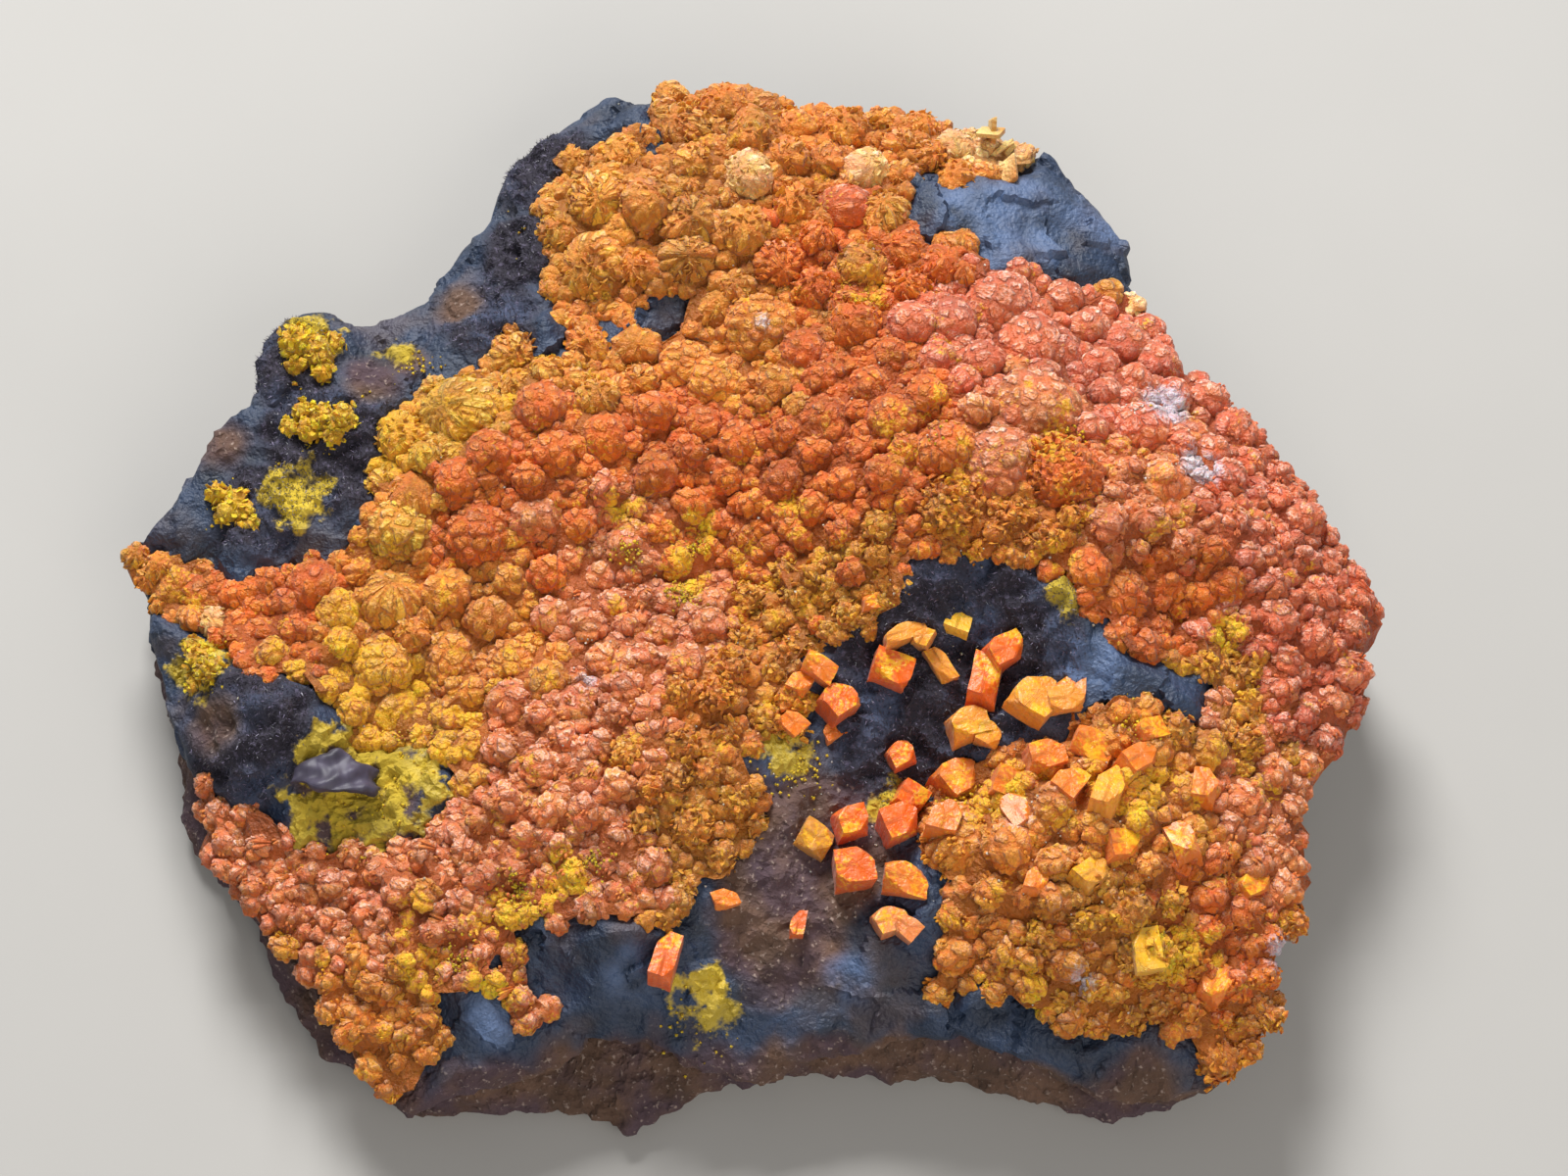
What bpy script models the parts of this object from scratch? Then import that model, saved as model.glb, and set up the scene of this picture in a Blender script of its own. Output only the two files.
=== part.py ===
"""Francevillite on matrix, lying on its back.

A flat piece of iron-oxide rock, blue-black goethite over brown earth, carries a druse of orange
uranyl vanadate crystals grown in ball-like lumps. A hollow in the druse shows the bare rock, with
single crystals standing on it. Plan measures are in millimetres on a specimen 62 mm long.
"""

import math
import random

import bmesh
import bpy
import numpy as np
from mathutils import Matrix, Vector, noise
from mathutils.geometry import delaunay_2d_cdt

# Driving dimensions
LENGTH = 0.062
DRAWN_LENGTH = 62.0
MM = LENGTH / DRAWN_LENGTH
CRUST_THICKNESS = 1.5
CONTACT_GAP = 0.3
RIM_OVERHANG = 0.7
RIM_PROBE = 0.97
BASE_CHAMFER = 0.7
COVER_SLOPE = 1.5
HUMMOCK_HEIGHT = 0.95
HUMMOCK_WIDTH = 3.4
HUMMOCK_MARGIN = 0.6
HUMMOCK_EDGE_SHARE = 0.4
GRAIN_WIDTH = 2.2

# The side walls, from the top down: a hard layer, an undercut that is deepest at the front, and earth
HARD_LAYER_DROP = 0.9
HARD_LAYER_PROUD = 0.15
UNDERCUT_DROP = 1.5
LEDGE_DEPTH = 1.2
SHALLOW_LEDGE = 0.4
FRONT_Y = -12.0
WALL_WOBBLE = 0.7
WALL_WAVE = 3.0
EARTH_BULGE = 0.35
EARTH_WOBBLE = 0.5
EARTH_WAVE = 3.5
EARTH_LOW_SHARE = 0.62
FOOT_HEIGHT = 1.1
FOOT_WOBBLE = 0.3
FOOT_WAVE = 2.5

# The druse: a sheet of small balls, and lumps that stand on it
SHEET_SPACING = 1.15
SHEET_BALL = (1.05, 1.05, 0.8)
SHEET_LIFT = 0.3
SHEET_MARGIN = 0.5
LUMP_VARIATION = (0.8, 1.25)
LUMP_EDGE_MARGIN = 0.55
LUMP_CLOSENESS = 0.78
LUMP_SINK = 0.72
LUMP_RISE = (-0.15, 0.25)
LUMP_FLATNESS = (0.85, 1.0)
LUMP_STRETCH = (0.92, 1.12)

# Single crystals: how much narrower they are at the top, their bevel, and how deep they stand
CRYSTAL_TAPER = 0.84
CRYSTAL_BEVEL = 0.09
CRYSTAL_SEAT = 0.42
CRYSTAL_ROOT = 1.3
CLUSTER_SEAT = 0.35
CLUSTER_FLATNESS = 0.85

# Mesh fineness, in millimetres
RIM_SPACING = 2.1
BARE_SPACING = 1.2
COVERED_SPACING = 3.2
UNDERSIDE_SPACING = 4.0
CRUST_VOXEL = 0.32
CLUSTER_VOXEL = 0.2
CRUST_TRIANGLES = 4850
CLUSTER_TRIANGLES = 130
BARE_MARGIN = 0.9
SCATTER_MARGIN = 0.45
SCATTER_CLOSENESS = 0.8
SCATTER_TRIALS = 16000
LUMP_TRIALS = 24000
FIELD_X = (-31.0, 31.0)
FIELD_Y = (-27.0, 26.0)
LUMP_FIELD_Y = (-26.0, 26.0)

# The specimen's upper edge in plan, clockwise from its west tip
RIM = [
    (-31.0, 1.4), (-29.5, 2.2), (-27.9, 3.8), (-27.0, 5.8), (-25.6, 8.0), (-24.4, 8.4), (-24.0, 10.4),
    (-23.6, 12.0), (-22.2, 13.4), (-21.2, 13.8), (-20.1, 13.3), (-18.6, 13.2), (-16.4, 14.9),
    (-14.8, 16.4), (-14.5, 17.6), (-13.2, 18.7), (-12.4, 21.0), (-11.4, 22.7), (-9.2, 23.9),
    (-7.1, 25.4), (-4.1, 25.5), (-1.9, 25.7), (-0.5, 25.5), (2.9, 24.8), (7.3, 24.3), (11.6, 23.3),
    (14.9, 21.9), (16.5, 19.6), (18.6, 17.3), (19.0, 15.4), (20.5, 12.8), (21.6, 10.7), (23.6, 9.0),
    (25.5, 6.7), (27.2, 3.9), (28.3, 1.6), (31.0, -1.4), (30.0, -3.6), (29.5, -6.5), (28.9, -8.2),
    (27.3, -10.6), (26.5, -12.0), (26.6, -14.9), (26.1, -18.2), (24.8, -19.4), (25.3, -21.6),
    (22.8, -25.3), (20.0, -25.6), (16.3, -25.3), (13.5, -24.1), (9.9, -22.8), (6.2, -22.8),
    (3.0, -23.5), (0.7, -24.6), (-2.0, -24.2), (-4.8, -22.7), (-7.6, -22.3), (-8.4, -23.4),
    (-11.2, -24.5), (-16.2, -26.1), (-17.8, -24.9), (-20.0, -22.2), (-22.0, -19.0), (-25.8, -14.6),
    (-26.7, -13.4), (-27.0, -8.9), (-28.1, -6.0), (-29.9, -1.3),
]

# Where the side walls meet the base, in plan
FOOT = [
    (-30.2, 0.8), (-29.2, 2.6), (-26.4, 5.6), (-24.0, 8.2), (-23.0, 11.0), (-20.5, 12.4),
    (-17.0, 13.3), (-13.4, 16.6), (-11.2, 19.8), (-8.5, 22.8), (-4.5, 24.1), (-0.5, 24.0),
    (5.0, 23.4), (10.5, 21.9), (14.6, 20.2), (16.6, 17.6), (18.4, 14.0), (20.6, 10.8), (24.0, 7.6),
    (27.0, 4.2), (29.4, -0.5), (28.4, -4.7), (25.7, -9.8), (25.2, -15.3), (24.3, -20.8),
    (21.8, -24.2), (19.4, -25.5), (16.6, -25.9), (13.4, -24.7), (9.6, -24.0), (4.0, -23.5),
    (0.7, -23.6), (-2.1, -24.5), (-4.3, -25.8), (-5.6, -26.6), (-7.5, -25.4), (-10.5, -25.0),
    (-12.4, -25.6), (-15.7, -25.8), (-17.5, -24.3), (-20.2, -23.1), (-22.6, -19.5), (-24.6, -15.1),
    (-27.6, -11.7), (-28.3, -5.9), (-29.3, -2.1),
]

# Heights of the surface seen from above, as x, y, z
RELIEF = {
    "west tip": (-30.7, 1.5, 6.5), "northwest knob": (-22.3, 11.8, 8.2),
    "north saddle": (-18.6, 12.6, 7.0), "northwest slope": (-14.0, 14.9, 7.2),
    "shoulder below the north lobe": (-11.6, 20.3, 7.4), "blue rim": (-6.3, 24.9, 8.6),
    "brow of the north lobe": (-8.6, 18.0, 10.6), "west brow": (-15.5, 8.4, 9.4),
    "north crest": (-1.0, 24.6, 10.2), "north rim": (5.1, 24.1, 9.6),
    "northeast rim": (11.5, 22.6, 9.4), "bare blue face": (15.3, 18.0, 9.2),
    "blue face corner": (18.7, 16.4, 8.0), "east rim high": (20.5, 12.0, 8.8),
    "east rim": (25.1, 6.3, 8.6), "east point": (30.4, -1.6, 7.2), "east side low": (26.8, -11.1, 7.6),
    "southeast side": (25.9, -18.3, 7.2), "southeast corner": (22.9, -24.9, 5.2),
    "north lobe": (-4.1, 17.6, 11.6), "north lobe east": (4.5, 16.8, 11.0),
    "dark wedge": (-4.1, 12.9, 9.4), "east shoulder": (11.7, 11.7, 11.6),
    "east swell": (16.7, 5.8, 12.0), "east ridge": (21.2, -0.7, 11.8), "east slope": (26.0, -2.9, 9.8),
    "middle": (1.6, 6.2, 11.2), "middle west": (-7.8, 6.3, 11.0), "west lobe": (-14.0, 4.4, 10.6),
    "bare west floor": (-21.8, 3.2, 7.4), "west outer slope": (-26.0, 5.9, 7.2),
    "west shelf": (-20.6, -1.4, 8.4), "west shelf edge": (-26.9, -1.7, 6.8),
    "west foot": (-28.6, -4.9, 5.6), "valley west": (-11.5, -2.0, 8.8), "valley": (-5.9, -0.8, 8.8),
    "valley east": (0.7, -1.1, 9.0), "hollow rim west": (5.4, -1.8, 11.6),
    "hollow rim": (11.4, 0.1, 12.6), "hollow rim east": (16.4, -2.2, 12.4),
    "rim shoulder": (17.8, -5.7, 11.4), "trench": (19.7, -3.0, 10.0), "trench low": (22.6, -7.0, 9.4),
    "hollow wall west": (4.0, -4.3, 9.4), "hollow wall": (11.0, -2.3, 10.0),
    "hollow dome": (14.2, -5.5, 9.8), "hollow floor west": (4.9, -6.6, 8.2),
    "hollow floor": (7.7, -8.2, 7.8), "hollow pit": (8.9, -10.7, 6.4), "hollow mouth": (1.6, -10.8, 8.2),
    "south bulge edge": (10.6, -13.2, 9.8), "south bulge": (14.4, -13.9, 11.4),
    "south bulge east": (19.9, -14.6, 10.6), "south bulge foot": (15.3, -19.9, 9.2),
    "brown slope": (1.6, -14.9, 7.2), "brown slope low": (-1.1, -18.6, 6.6),
    "brown slope east": (4.9, -18.2, 6.8), "south rim middle": (-0.2, -21.3, 5.9),
    "blue window top": (-5.7, -19.3, 8.2), "blue window foot": (-6.2, -22.2, 5.0),
    "southeast window": (3.0, -22.4, 4.9), "south rim east": (10.8, -21.9, 6.6),
    "southeast window top": (19.1, -23.3, 6.2), "southeast rim": (19.2, -25.4, 4.4),
    "dark lens": (-23.3, -9.2, 8.4), "below the dark lens": (-24.6, -10.6, 6.2),
    "yellow hollow": (-18.5, -11.5, 6.6), "west gap": (-15.2, -7.9, 7.6),
    "south lobe west": (-11.3, -8.9, 9.6), "south lobe": (-5.7, -9.2, 10.6),
    "south lobe east": (-1.6, -6.8, 10.8), "south lobe edge": (-2.0, -14.0, 9.4),
    "southwest slope": (-15.9, -16.1, 8.0), "southwest swell": (-9.4, -15.6, 9.2),
    "southwest edge": (-24.5, -13.9, 5.8), "southwest edge low": (-21.1, -19.4, 5.4),
    "southwest corner": (-16.8, -24.6, 4.2), "southwest middle": (-15.4, -21.0, 6.6),
    "blue facet": (-12.1, -22.1, 6.4), "blue facet foot": (-12.7, -24.0, 4.6),
    "dark window": (-9.6, -19.4, 7.0),
}

# Patches of bare rock, in plan; some run out past the rim
BARE_PATCHES = {
    "northwest flank": [
        (-31.5, 2.2), (-28.6, 1.8), (-26.0, 1.6), (-24.6, -0.9), (-23.6, 0.6), (-21.8, 1.0),
        (-19.6, 1.0), (-18.6, 2.0), (-19.0, 4.9), (-18.6, 6.6), (-16.2, 9.4), (-14.2, 9.4),
        (-12.7, 11.4), (-11.6, 12.4), (-9.7, 10.6), (-8.9, 10.4), (-10.1, 12.8), (-10.4, 15.2),
        (-10.8, 17.8), (-10.4, 20.0), (-9.4, 22.3), (-5.5, 23.0), (-4.5, 25.4), (-4.5, 28.0),
        (-33.0, 28.0), (-33.0, 2.5),
    ],
    "northeast blue face": [
        (8.2, 18.7), (8.6, 20.1), (10.6, 18.6), (12.0, 19.9), (13.6, 20.3), (14.8, 21.8),
        (17.0, 24.0), (22.0, 15.5), (18.9, 15.3), (17.0, 14.5), (15.3, 14.2), (14.3, 15.4),
        (11.4, 14.8), (10.8, 16.7), (8.4, 16.6),
    ],
    "hollow and brown slope": [
        (9.0, -0.9), (12.7, -1.4), (15.6, -3.2), (17.7, -7.0), (17.0, -7.9), (15.4, -8.2),
        (14.0, -9.6), (11.1, -9.8), (9.5, -10.2), (8.7, -12.4), (7.9, -14.0), (8.9, -16.6),
        (8.9, -19.7), (7.7, -20.6), (8.4, -21.5), (12.2, -21.7), (15.9, -23.5), (18.6, -22.7),
        (20.8, -23.8), (22.0, -25.4), (22.0, -29.0), (-10.0, -29.0), (-9.9, -22.6), (-8.0, -20.4),
        (-7.9, -18.0), (-5.0, -18.4), (-3.0, -18.2), (-2.2, -16.5), (-0.8, -16.0), (0.9, -13.6),
        (1.2, -11.6), (-0.4, -10.9), (2.2, -8.9), (3.3, -7.4), (2.6, -6.0), (3.4, -4.5),
        (5.9, -4.3), (7.6, -3.0), (7.6, -1.9),
    ],
    "southwest blue facet": [
        (-14.1, -22.3), (-13.9, -21.3), (-12.0, -21.1), (-10.8, -22.6), (-10.0, -23.2),
        (-10.0, -28.0), (-16.4, -28.0), (-16.4, -25.4), (-14.9, -24.4), (-13.9, -23.7),
    ],
    "west notch": [
        (-33.0, -0.6), (-29.6, -1.7), (-27.2, -3.0), (-25.4, -3.9), (-24.9, -5.6), (-23.5, -6.7),
        (-21.5, -6.5), (-20.5, -7.4), (-19.4, -8.0), (-19.4, -9.6), (-16.0, -9.2), (-14.6, -10.0),
        (-14.4, -11.4), (-14.9, -12.7), (-16.8, -13.6), (-21.0, -13.3), (-22.2, -12.4),
        (-23.5, -10.8), (-24.6, -11.4), (-24.8, -10.2), (-26.0, -9.5), (-33.0, -9.4),
    ],
    "trench patch": [(18.4, -6.3), (20.8, -6.5), (21.3, -8.0), (19.5, -8.3), (18.6, -7.6)],
    "dark wedge": [(-5.5, 12.6), (-4.2, 13.9), (-2.9, 13.7), (-3.6, 12.2), (-4.9, 11.8)],
    "southwest window": [(-10.6, -18.0), (-9.0, -18.6), (-9.0, -20.8), (-10.4, -20.4)],
}

# The lumps that stand out, as x, y, radius
NOTABLE_LUMPS = [
    (-11.4, 10.7, 1.5), (-13.9, 7.6, 2.1), (-17.0, 6.4, 1.4), (-18.0, 4.1, 0.8), (-16.4, 3.2, 1.4),
    (-16.9, 1.6, 1.8), (-13.2, 1.3, 1.8), (-10.7, 3.6, 0.9), (-10.4, 2.0, 1.3), (-17.3, -1.8, 1.6),
    (-14.6, -1.5, 1.4), (-14.3, -4.6, 1.8), (-11.2, -5.1, 1.5), (-11.4, -7.3, 1.2),
    (-17.6, -5.2, 1.6), (-17.1, -7.1, 1.4), (-20.2, -6.4, 0.7), (-9.8, 14.1, 0.7), (-9.5, 12.2, 0.8),
    (-1.3, 24.2, 1.4), (-3.2, 22.9, 1.6), (-6.2, 21.3, 1.4), (-8.7, 21.7, 1.2), (2.0, 23.0, 1.2),
    (-0.1, 19.8, 1.4), (-5.1, 18.2, 1.4), (-7.6, 18.7, 1.6), (-3.2, 17.4, 1.6), (-0.3, 16.8, 1.4),
    (2.2, 18.3, 1.2), (4.6, 18.2, 1.4), (3.3, 16.3, 0.9), (6.7, 17.8, 1.6), (5.8, 20.5, 1.3),
    (-3.2, 15.5, 1.5), (-7.6, 15.2, 2.1), (-5.4, 15.0, 1.2), (-5.6, 10.9, 1.4), (-8.0, 11.0, 1.2),
    (-3.1, 10.1, 1.6), (-1.7, 9.0, 1.6), (0.7, 11.9, 2.1), (-1.7, 13.1, 1.2), (-0.5, 13.9, 1.0),
    (5.5, 14.8, 1.4), (5.2, 11.4, 1.4), (7.9, 11.3, 1.3), (12.2, 12.9, 2.1), (9.8, 11.4, 1.4),
    (13.6, 10.6, 2.1), (15.0, 10.3, 1.4), (16.6, 11.9, 1.3), (18.3, 11.3, 1.4), (17.6, 14.2, 0.9),
    (19.6, 12.4, 1.0), (19.9, 10.3, 1.4), (14.2, 8.5, 1.0), (13.7, 6.6, 2.3), (10.4, 7.8, 0.9),
    (22.4, 8.4, 1.2), (18.9, 6.1, 1.6), (23.5, 6.9, 1.4), (9.4, 4.1, 1.6), (12.0, 3.4, 2.1),
    (14.8, 2.9, 1.9), (9.6, 1.3, 1.6), (17.1, 0.3, 1.2), (17.7, -2.6, 1.6), (16.2, -1.7, 1.2),
    (10.2, -11.4, 1.9), (10.0, -14.5, 2.1), (12.2, -15.0, 1.4), (18.6, -19.6, 1.6),
    (17.7, -17.9, 1.2), (10.2, 22.0, 1.2), (11.8, 22.0, 1.1), (9.0, 21.4, 0.9), (14.0, 21.0, 0.8),
    (-30.0, 1.2, 0.8), (-28.7, 0.5, 0.9), (-27.9, -0.4, 1.3), (-27.5, 1.0, 0.8), (-25.8, -0.4, 0.9),
    (-28.6, -1.2, 0.8), (-25.9, -2.3, 1.0), (-24.2, -1.8, 0.8), (-23.3, -0.6, 0.9),
    (-21.1, -0.8, 1.4), (-19.8, -2.4, 1.2), (-20.9, 0.4, 0.7), (-23.7, -3.2, 1.0),
    (-22.9, -4.6, 1.0), (-21.9, -3.3, 0.8), (-24.1, -4.9, 0.7), (-21.0, -4.8, 0.6),
    (-22.3, -1.8, 1.0), (-18.8, -0.4, 1.0), (-26.8, -0.8, 1.2), (-19.6, -4.2, 0.9),
    (-29.4, 0.2, 0.8), (2.0, -7.1, 1.0), (2.1, -8.6, 0.8),
]

# How large the lumps between those are, as x, y, radius
LUMP_SIZES = [
    (-4.0, 17.0, 1.35), (4.0, 22.5, 1.1), (-12.0, 6.0, 1.2), (-4.0, 5.0, 1.15), (4.0, 6.0, 1.15),
    (12.0, 11.0, 1.25), (20.0, 6.0, 1.1), (25.0, 0.0, 0.95), (24.0, -12.0, 0.95), (-22.0, -2.0, 1.0),
    (-6.0, -1.0, 0.9), (2.0, -2.5, 0.7), (12.0, 0.5, 0.65), (-8.0, -8.0, 1.0), (-15.0, -15.0, 0.75),
    (-20.0, -17.0, 0.7), (-15.0, -20.0, 0.75), (-5.0, -13.0, 0.85), (14.0, -13.0, 1.1),
    (16.0, -19.0, 0.9), (20.0, -3.0, 0.9), (-17.0, -6.0, 1.1),
]

# Single crystals and small groups in the hollow: x, y, then length, width and height, then turn
# and lean in degrees
HOLLOW_CRYSTALS = {
    "slab_crystal": [(3.3, -5.9, 1.7, 1.1, 1.0, -35, 12)],
    "rhomb_crystal": [(4.2, -7.5, 1.6, 1.5, 1.4, 38, 14)],
    "west_barrel": [(6.7, -6.0, 1.9, 1.5, 1.4, -18, 12)],
    "dome_wreath": [
        (7.3, -4.5, 2.1, 0.8, 1.1, 25, 16), (8.3, -4.6, 1.0, 0.9, 1.2, 60, -10),
        (9.1, -5.7, 1.9, 0.9, 0.9, -58, 8),
    ],
    "yellow_plate": [(10.0, -3.6, 1.7, 1.3, 0.5, 75, 24)],
    "barrel_pair": [(11.2, -6.6, 2.4, 1.5, 1.5, 78, 8), (12.1, -5.3, 1.9, 1.4, 1.4, 30, 14)],
    "square_plate": [(13.6, -7.9, 2.3, 2.2, 1.1, 48, 16), (14.9, -8.1, 1.7, 1.2, 1.1, 10, 6)],
    "golden_group": [(10.4, -8.7, 1.9, 1.5, 1.5, 15, 6), (11.3, -9.2, 1.2, 1.1, 1.1, -25, 8)],
    "round_crystal": [(7.2, -9.8, 1.3, 1.2, 1.3, 30, 4)],
    "pit_crystal": [(4.8, -13.2, 1.5, 1.4, 1.4, 15, 10)],
    "fan_crystal": [(3.1, -13.9, 1.7, 1.5, 0.9, -30, 14)],
    "block_crystal": [(4.9, -15.6, 1.9, 1.7, 1.7, 8, 6)],
    "pointed_group": [(7.6, -11.9, 1.5, 1.3, 1.7, -30, 14), (7.0, -13.4, 1.7, 1.5, 1.7, 25, 12)],
    "low_block": [(7.3, -16.2, 2.1, 1.5, 1.3, -15, 8)],
    "low_group": [(6.6, -18.1, 1.5, 1.2, 1.1, 20, 8), (7.4, -18.5, 1.2, 1.0, 1.0, -40, 6)],
    "slope_crystal": [(2.3, -18.0, 1.2, 0.7, 0.8, 80, 6)],
    "window_crystal": [(-3.9, -19.9, 2.4, 1.2, 1.3, 75, 8)],
}

# Yellow groups on the bare flank: balls as x, y, radius
YELLOW_CLUSTERS = {
    "knob_cluster": [
        (-22.3, 11.6, 0.9), (-21.3, 11.0, 0.9), (-22.4, 10.5, 0.6), (-20.6, 11.6, 0.6),
        (-21.0, 10.0, 0.6),
    ],
    "floor_cluster": [
        (-21.8, 7.9, 0.6), (-20.9, 7.4, 0.8), (-19.9, 7.2, 0.8), (-21.4, 6.9, 0.7), (-20.3, 6.5, 0.6),
        (-22.5, 7.1, 0.5),
    ],
    "slope_cluster": [
        (-26.0, 3.9, 0.6), (-25.2, 3.6, 0.7), (-25.5, 2.9, 0.7), (-24.7, 3.0, 0.6), (-24.3, 2.3, 0.5),
    ],
    "shelf_cluster": [
        (-26.4, -4.7, 0.7), (-25.9, -5.4, 0.8), (-26.6, -5.7, 0.6), (-26.9, -4.0, 0.5),
    ],
}

# The loose dark flake: its middle, size and turn
FLAKE_PLACE = (-19.7, -10.8)
FLAKE_SIZE = (4.0, 2.1, 0.6)
FLAKE_TURN = math.radians(-8)
FLAKE_ARCH = 0.7
FLAKE_TILT = 0.25
FLAKE_TAPER = 0.35
FLAKE_SEAT = 1.0

# Hollows in the underside, as x, y, radius, depth; the rest of the base is one flat face
BASE_HOLLOWS = [
    (-24.0, 4.0, 7.0, 1.4), (-12.0, 17.0, 6.5, 1.1), (12.0, 18.0, 7.5, 1.3), (25.0, 2.0, 6.5, 1.2),
    (22.0, -17.0, 6.0, 1.0), (-2.0, -23.0, 5.0, 0.8), (-23.0, -13.0, 5.5, 1.0), (7.0, -22.0, 4.5, 0.9),
]


def clear_scene():
    for thing in list(bpy.data.objects):
        bpy.data.objects.remove(thing, do_unlink=True)


def material(name, colour, roughness, metallic=0.0):
    made = bpy.data.materials.new(name)
    made.use_nodes = True
    shader = made.node_tree.nodes["Principled BSDF"]
    shader.inputs["Base Color"].default_value = (*colour, 1.0)
    shader.inputs["Roughness"].default_value = roughness
    shader.inputs["Metallic"].default_value = metallic
    return made


def thin_plate(points, ease=0.4):
    """A smooth surface through scattered heights, like a thin plate bent over them."""
    places = np.array([p[:2] for p in points])
    count = len(places)

    def kernel(a, b):
        square = ((a[:, None, :] - b[None, :, :]) ** 2).sum(axis=2)
        return 0.5 * square * np.log(square + 1e-9)

    system = np.zeros((count + 3, count + 3))
    system[:count, :count] = kernel(places, places) + ease * np.eye(count)
    system[:count, count] = 1.0
    system[:count, count + 1:] = places
    system[count:, :count] = system[:count, count:].T
    wanted = np.zeros(count + 3)
    wanted[:count] = [p[2] for p in points]
    weights = np.linalg.solve(system, wanted)

    def height(at):
        at = np.asarray(at, dtype=float)
        bend = kernel(at, places) @ weights[:count]
        return bend + weights[count] + at @ weights[count + 1:]

    return height


def signed_distance(at, outline):
    """Distance from plan points to a closed outline, positive inside it."""
    start = np.array(outline)
    end = np.roll(start, -1, axis=0)
    edge = end - start
    offset = at[:, None, :] - start[None, :, :]
    share = np.clip((offset * edge).sum(axis=2) / (edge ** 2).sum(axis=1), 0.0, 1.0)
    gap = np.linalg.norm(offset - share[:, :, None] * edge, axis=2).min(axis=1)
    x = at[:, 0, None]
    y = at[:, 1, None]
    spans = (start[None, :, 1] > y) != (end[None, :, 1] > y)
    rise = np.where(edge[:, 1] == 0.0, 1e-12, edge[:, 1])
    crossing = start[None, :, 0] + (y - start[None, :, 1]) * edge[None, :, 0] / rise[None, :]
    inside = (spans & (x < crossing)).sum(axis=1) % 2 == 1
    return np.where(inside, gap, -gap)


def patch_clearance(at):
    """Distance from plan points to the nearest bare patch, negative inside one."""
    at = np.asarray(at, dtype=float)
    return np.min([-signed_distance(at, patch) for patch in BARE_PATCHES.values()], axis=0)


def crust_depth(at):
    """How far plan points lie inside the druse; negative on bare rock and past the rim."""
    at = np.asarray(at, dtype=float)
    return np.minimum(signed_distance(at, RIM), patch_clearance(at))


SEEN_HEIGHT = thin_plate(list(RELIEF.values()))


def rock_height(at):
    """Height of the rock: the seen surface on bare patches, and below the druse elsewhere."""
    at = np.asarray(at, dtype=float)
    cover = np.clip(patch_clearance(at) / COVER_SLOPE, 0.0, 1.0)
    return SEEN_HEIGHT(at) - CRUST_THICKNESS * cover


def hummocks(x, y):
    """Rounded humps with sharp creases between, as velvety goethite grows, plus a finer grain."""
    broad = 1.0 - 2.0 * abs(noise.noise(Vector((x / HUMMOCK_WIDTH, y / HUMMOCK_WIDTH, 2.7))))
    fine = noise.fractal(Vector((x / GRAIN_WIDTH, y / GRAIN_WIDTH, 8.1)), 1.0, 2.0, 3)
    return HUMMOCK_HEIGHT * (0.55 * broad + 0.45 * fine)


def subdivide(outline, spacing):
    """The outline with extra points, so that no side is longer than the spacing."""
    points = []
    for here, after in zip(outline, outline[1:] + outline[:1]):
        steps = max(1, round(math.dist(here, after) / spacing))
        for i in range(steps):
            share = i / steps
            points.append((here[0] + share * (after[0] - here[0]), here[1] + share * (after[1] - here[1])))
    return points


def reach(outline, direction):
    """Distance from the middle to the outline along a direction in plan."""
    best = 0.0
    for a, b in zip(outline, outline[1:] + outline[:1]):
        edge = (b[0] - a[0], b[1] - a[1])
        cross = direction[0] * edge[1] - direction[1] * edge[0]
        if abs(cross) < 1e-9:
            continue
        far = (a[0] * edge[1] - a[1] * edge[0]) / cross
        along = (a[0] * direction[1] - a[1] * direction[0]) / cross
        if far > 0.0 and 0.0 <= along <= 1.0:
            best = max(best, far)
    return best


def scatter(outline, spacing_at, seed):
    """Points spread inside an outline, each kept its own spacing away from the others."""
    draw = random.Random(seed)
    kept = []
    cells = {}
    smallest = BARE_SPACING
    trials = [(draw.uniform(*FIELD_X), draw.uniform(*FIELD_Y)) for _ in range(SCATTER_TRIALS)]
    inside = signed_distance(np.array(trials), outline)
    spacings = spacing_at(np.array(trials))
    for place, depth, spacing in zip(trials, inside, spacings):
        if depth < SCATTER_MARGIN * spacing:
            continue
        cell = (int(place[0] // smallest), int(place[1] // smallest))
        span = int(math.ceil(spacing / smallest))
        near = (
            other
            for i in range(-span, span + 1)
            for j in range(-span, span + 1)
            for other in cells.get((cell[0] + i, cell[1] + j), ())
        )
        if all(math.dist(place, other) >= SCATTER_CLOSENESS * spacing for other in near):
            kept.append(place)
            cells.setdefault(cell, []).append(place)
    return kept


def triangulate(ring, inner):
    """Plan triangles over a ring and the points inside it, as index triples into ring + inner."""
    points = [Vector(p) for p in ring + inner]
    border = [(i, (i + 1) % len(ring)) for i in range(len(ring))]
    result = delaunay_2d_cdt(points, border, [], 1, 1e-6)
    origin = [sources[0] for sources in result[3]]
    return [tuple(origin[corner] for corner in face) for face in result[2]]


def wall_ring(rim, drop, outward, seed):
    """One ring of the side wall: below the rim by a drop and pushed in or out of it."""
    ring = []
    for x, y, z in rim:
        away = Vector((x, y)).normalized()
        push = outward(x, y) + WALL_WOBBLE * noise.noise(Vector((x / WALL_WAVE, y / WALL_WAVE, seed)))
        ring.append((x + away.x * push, y + away.y * push, z - drop))
    return ring


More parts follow.
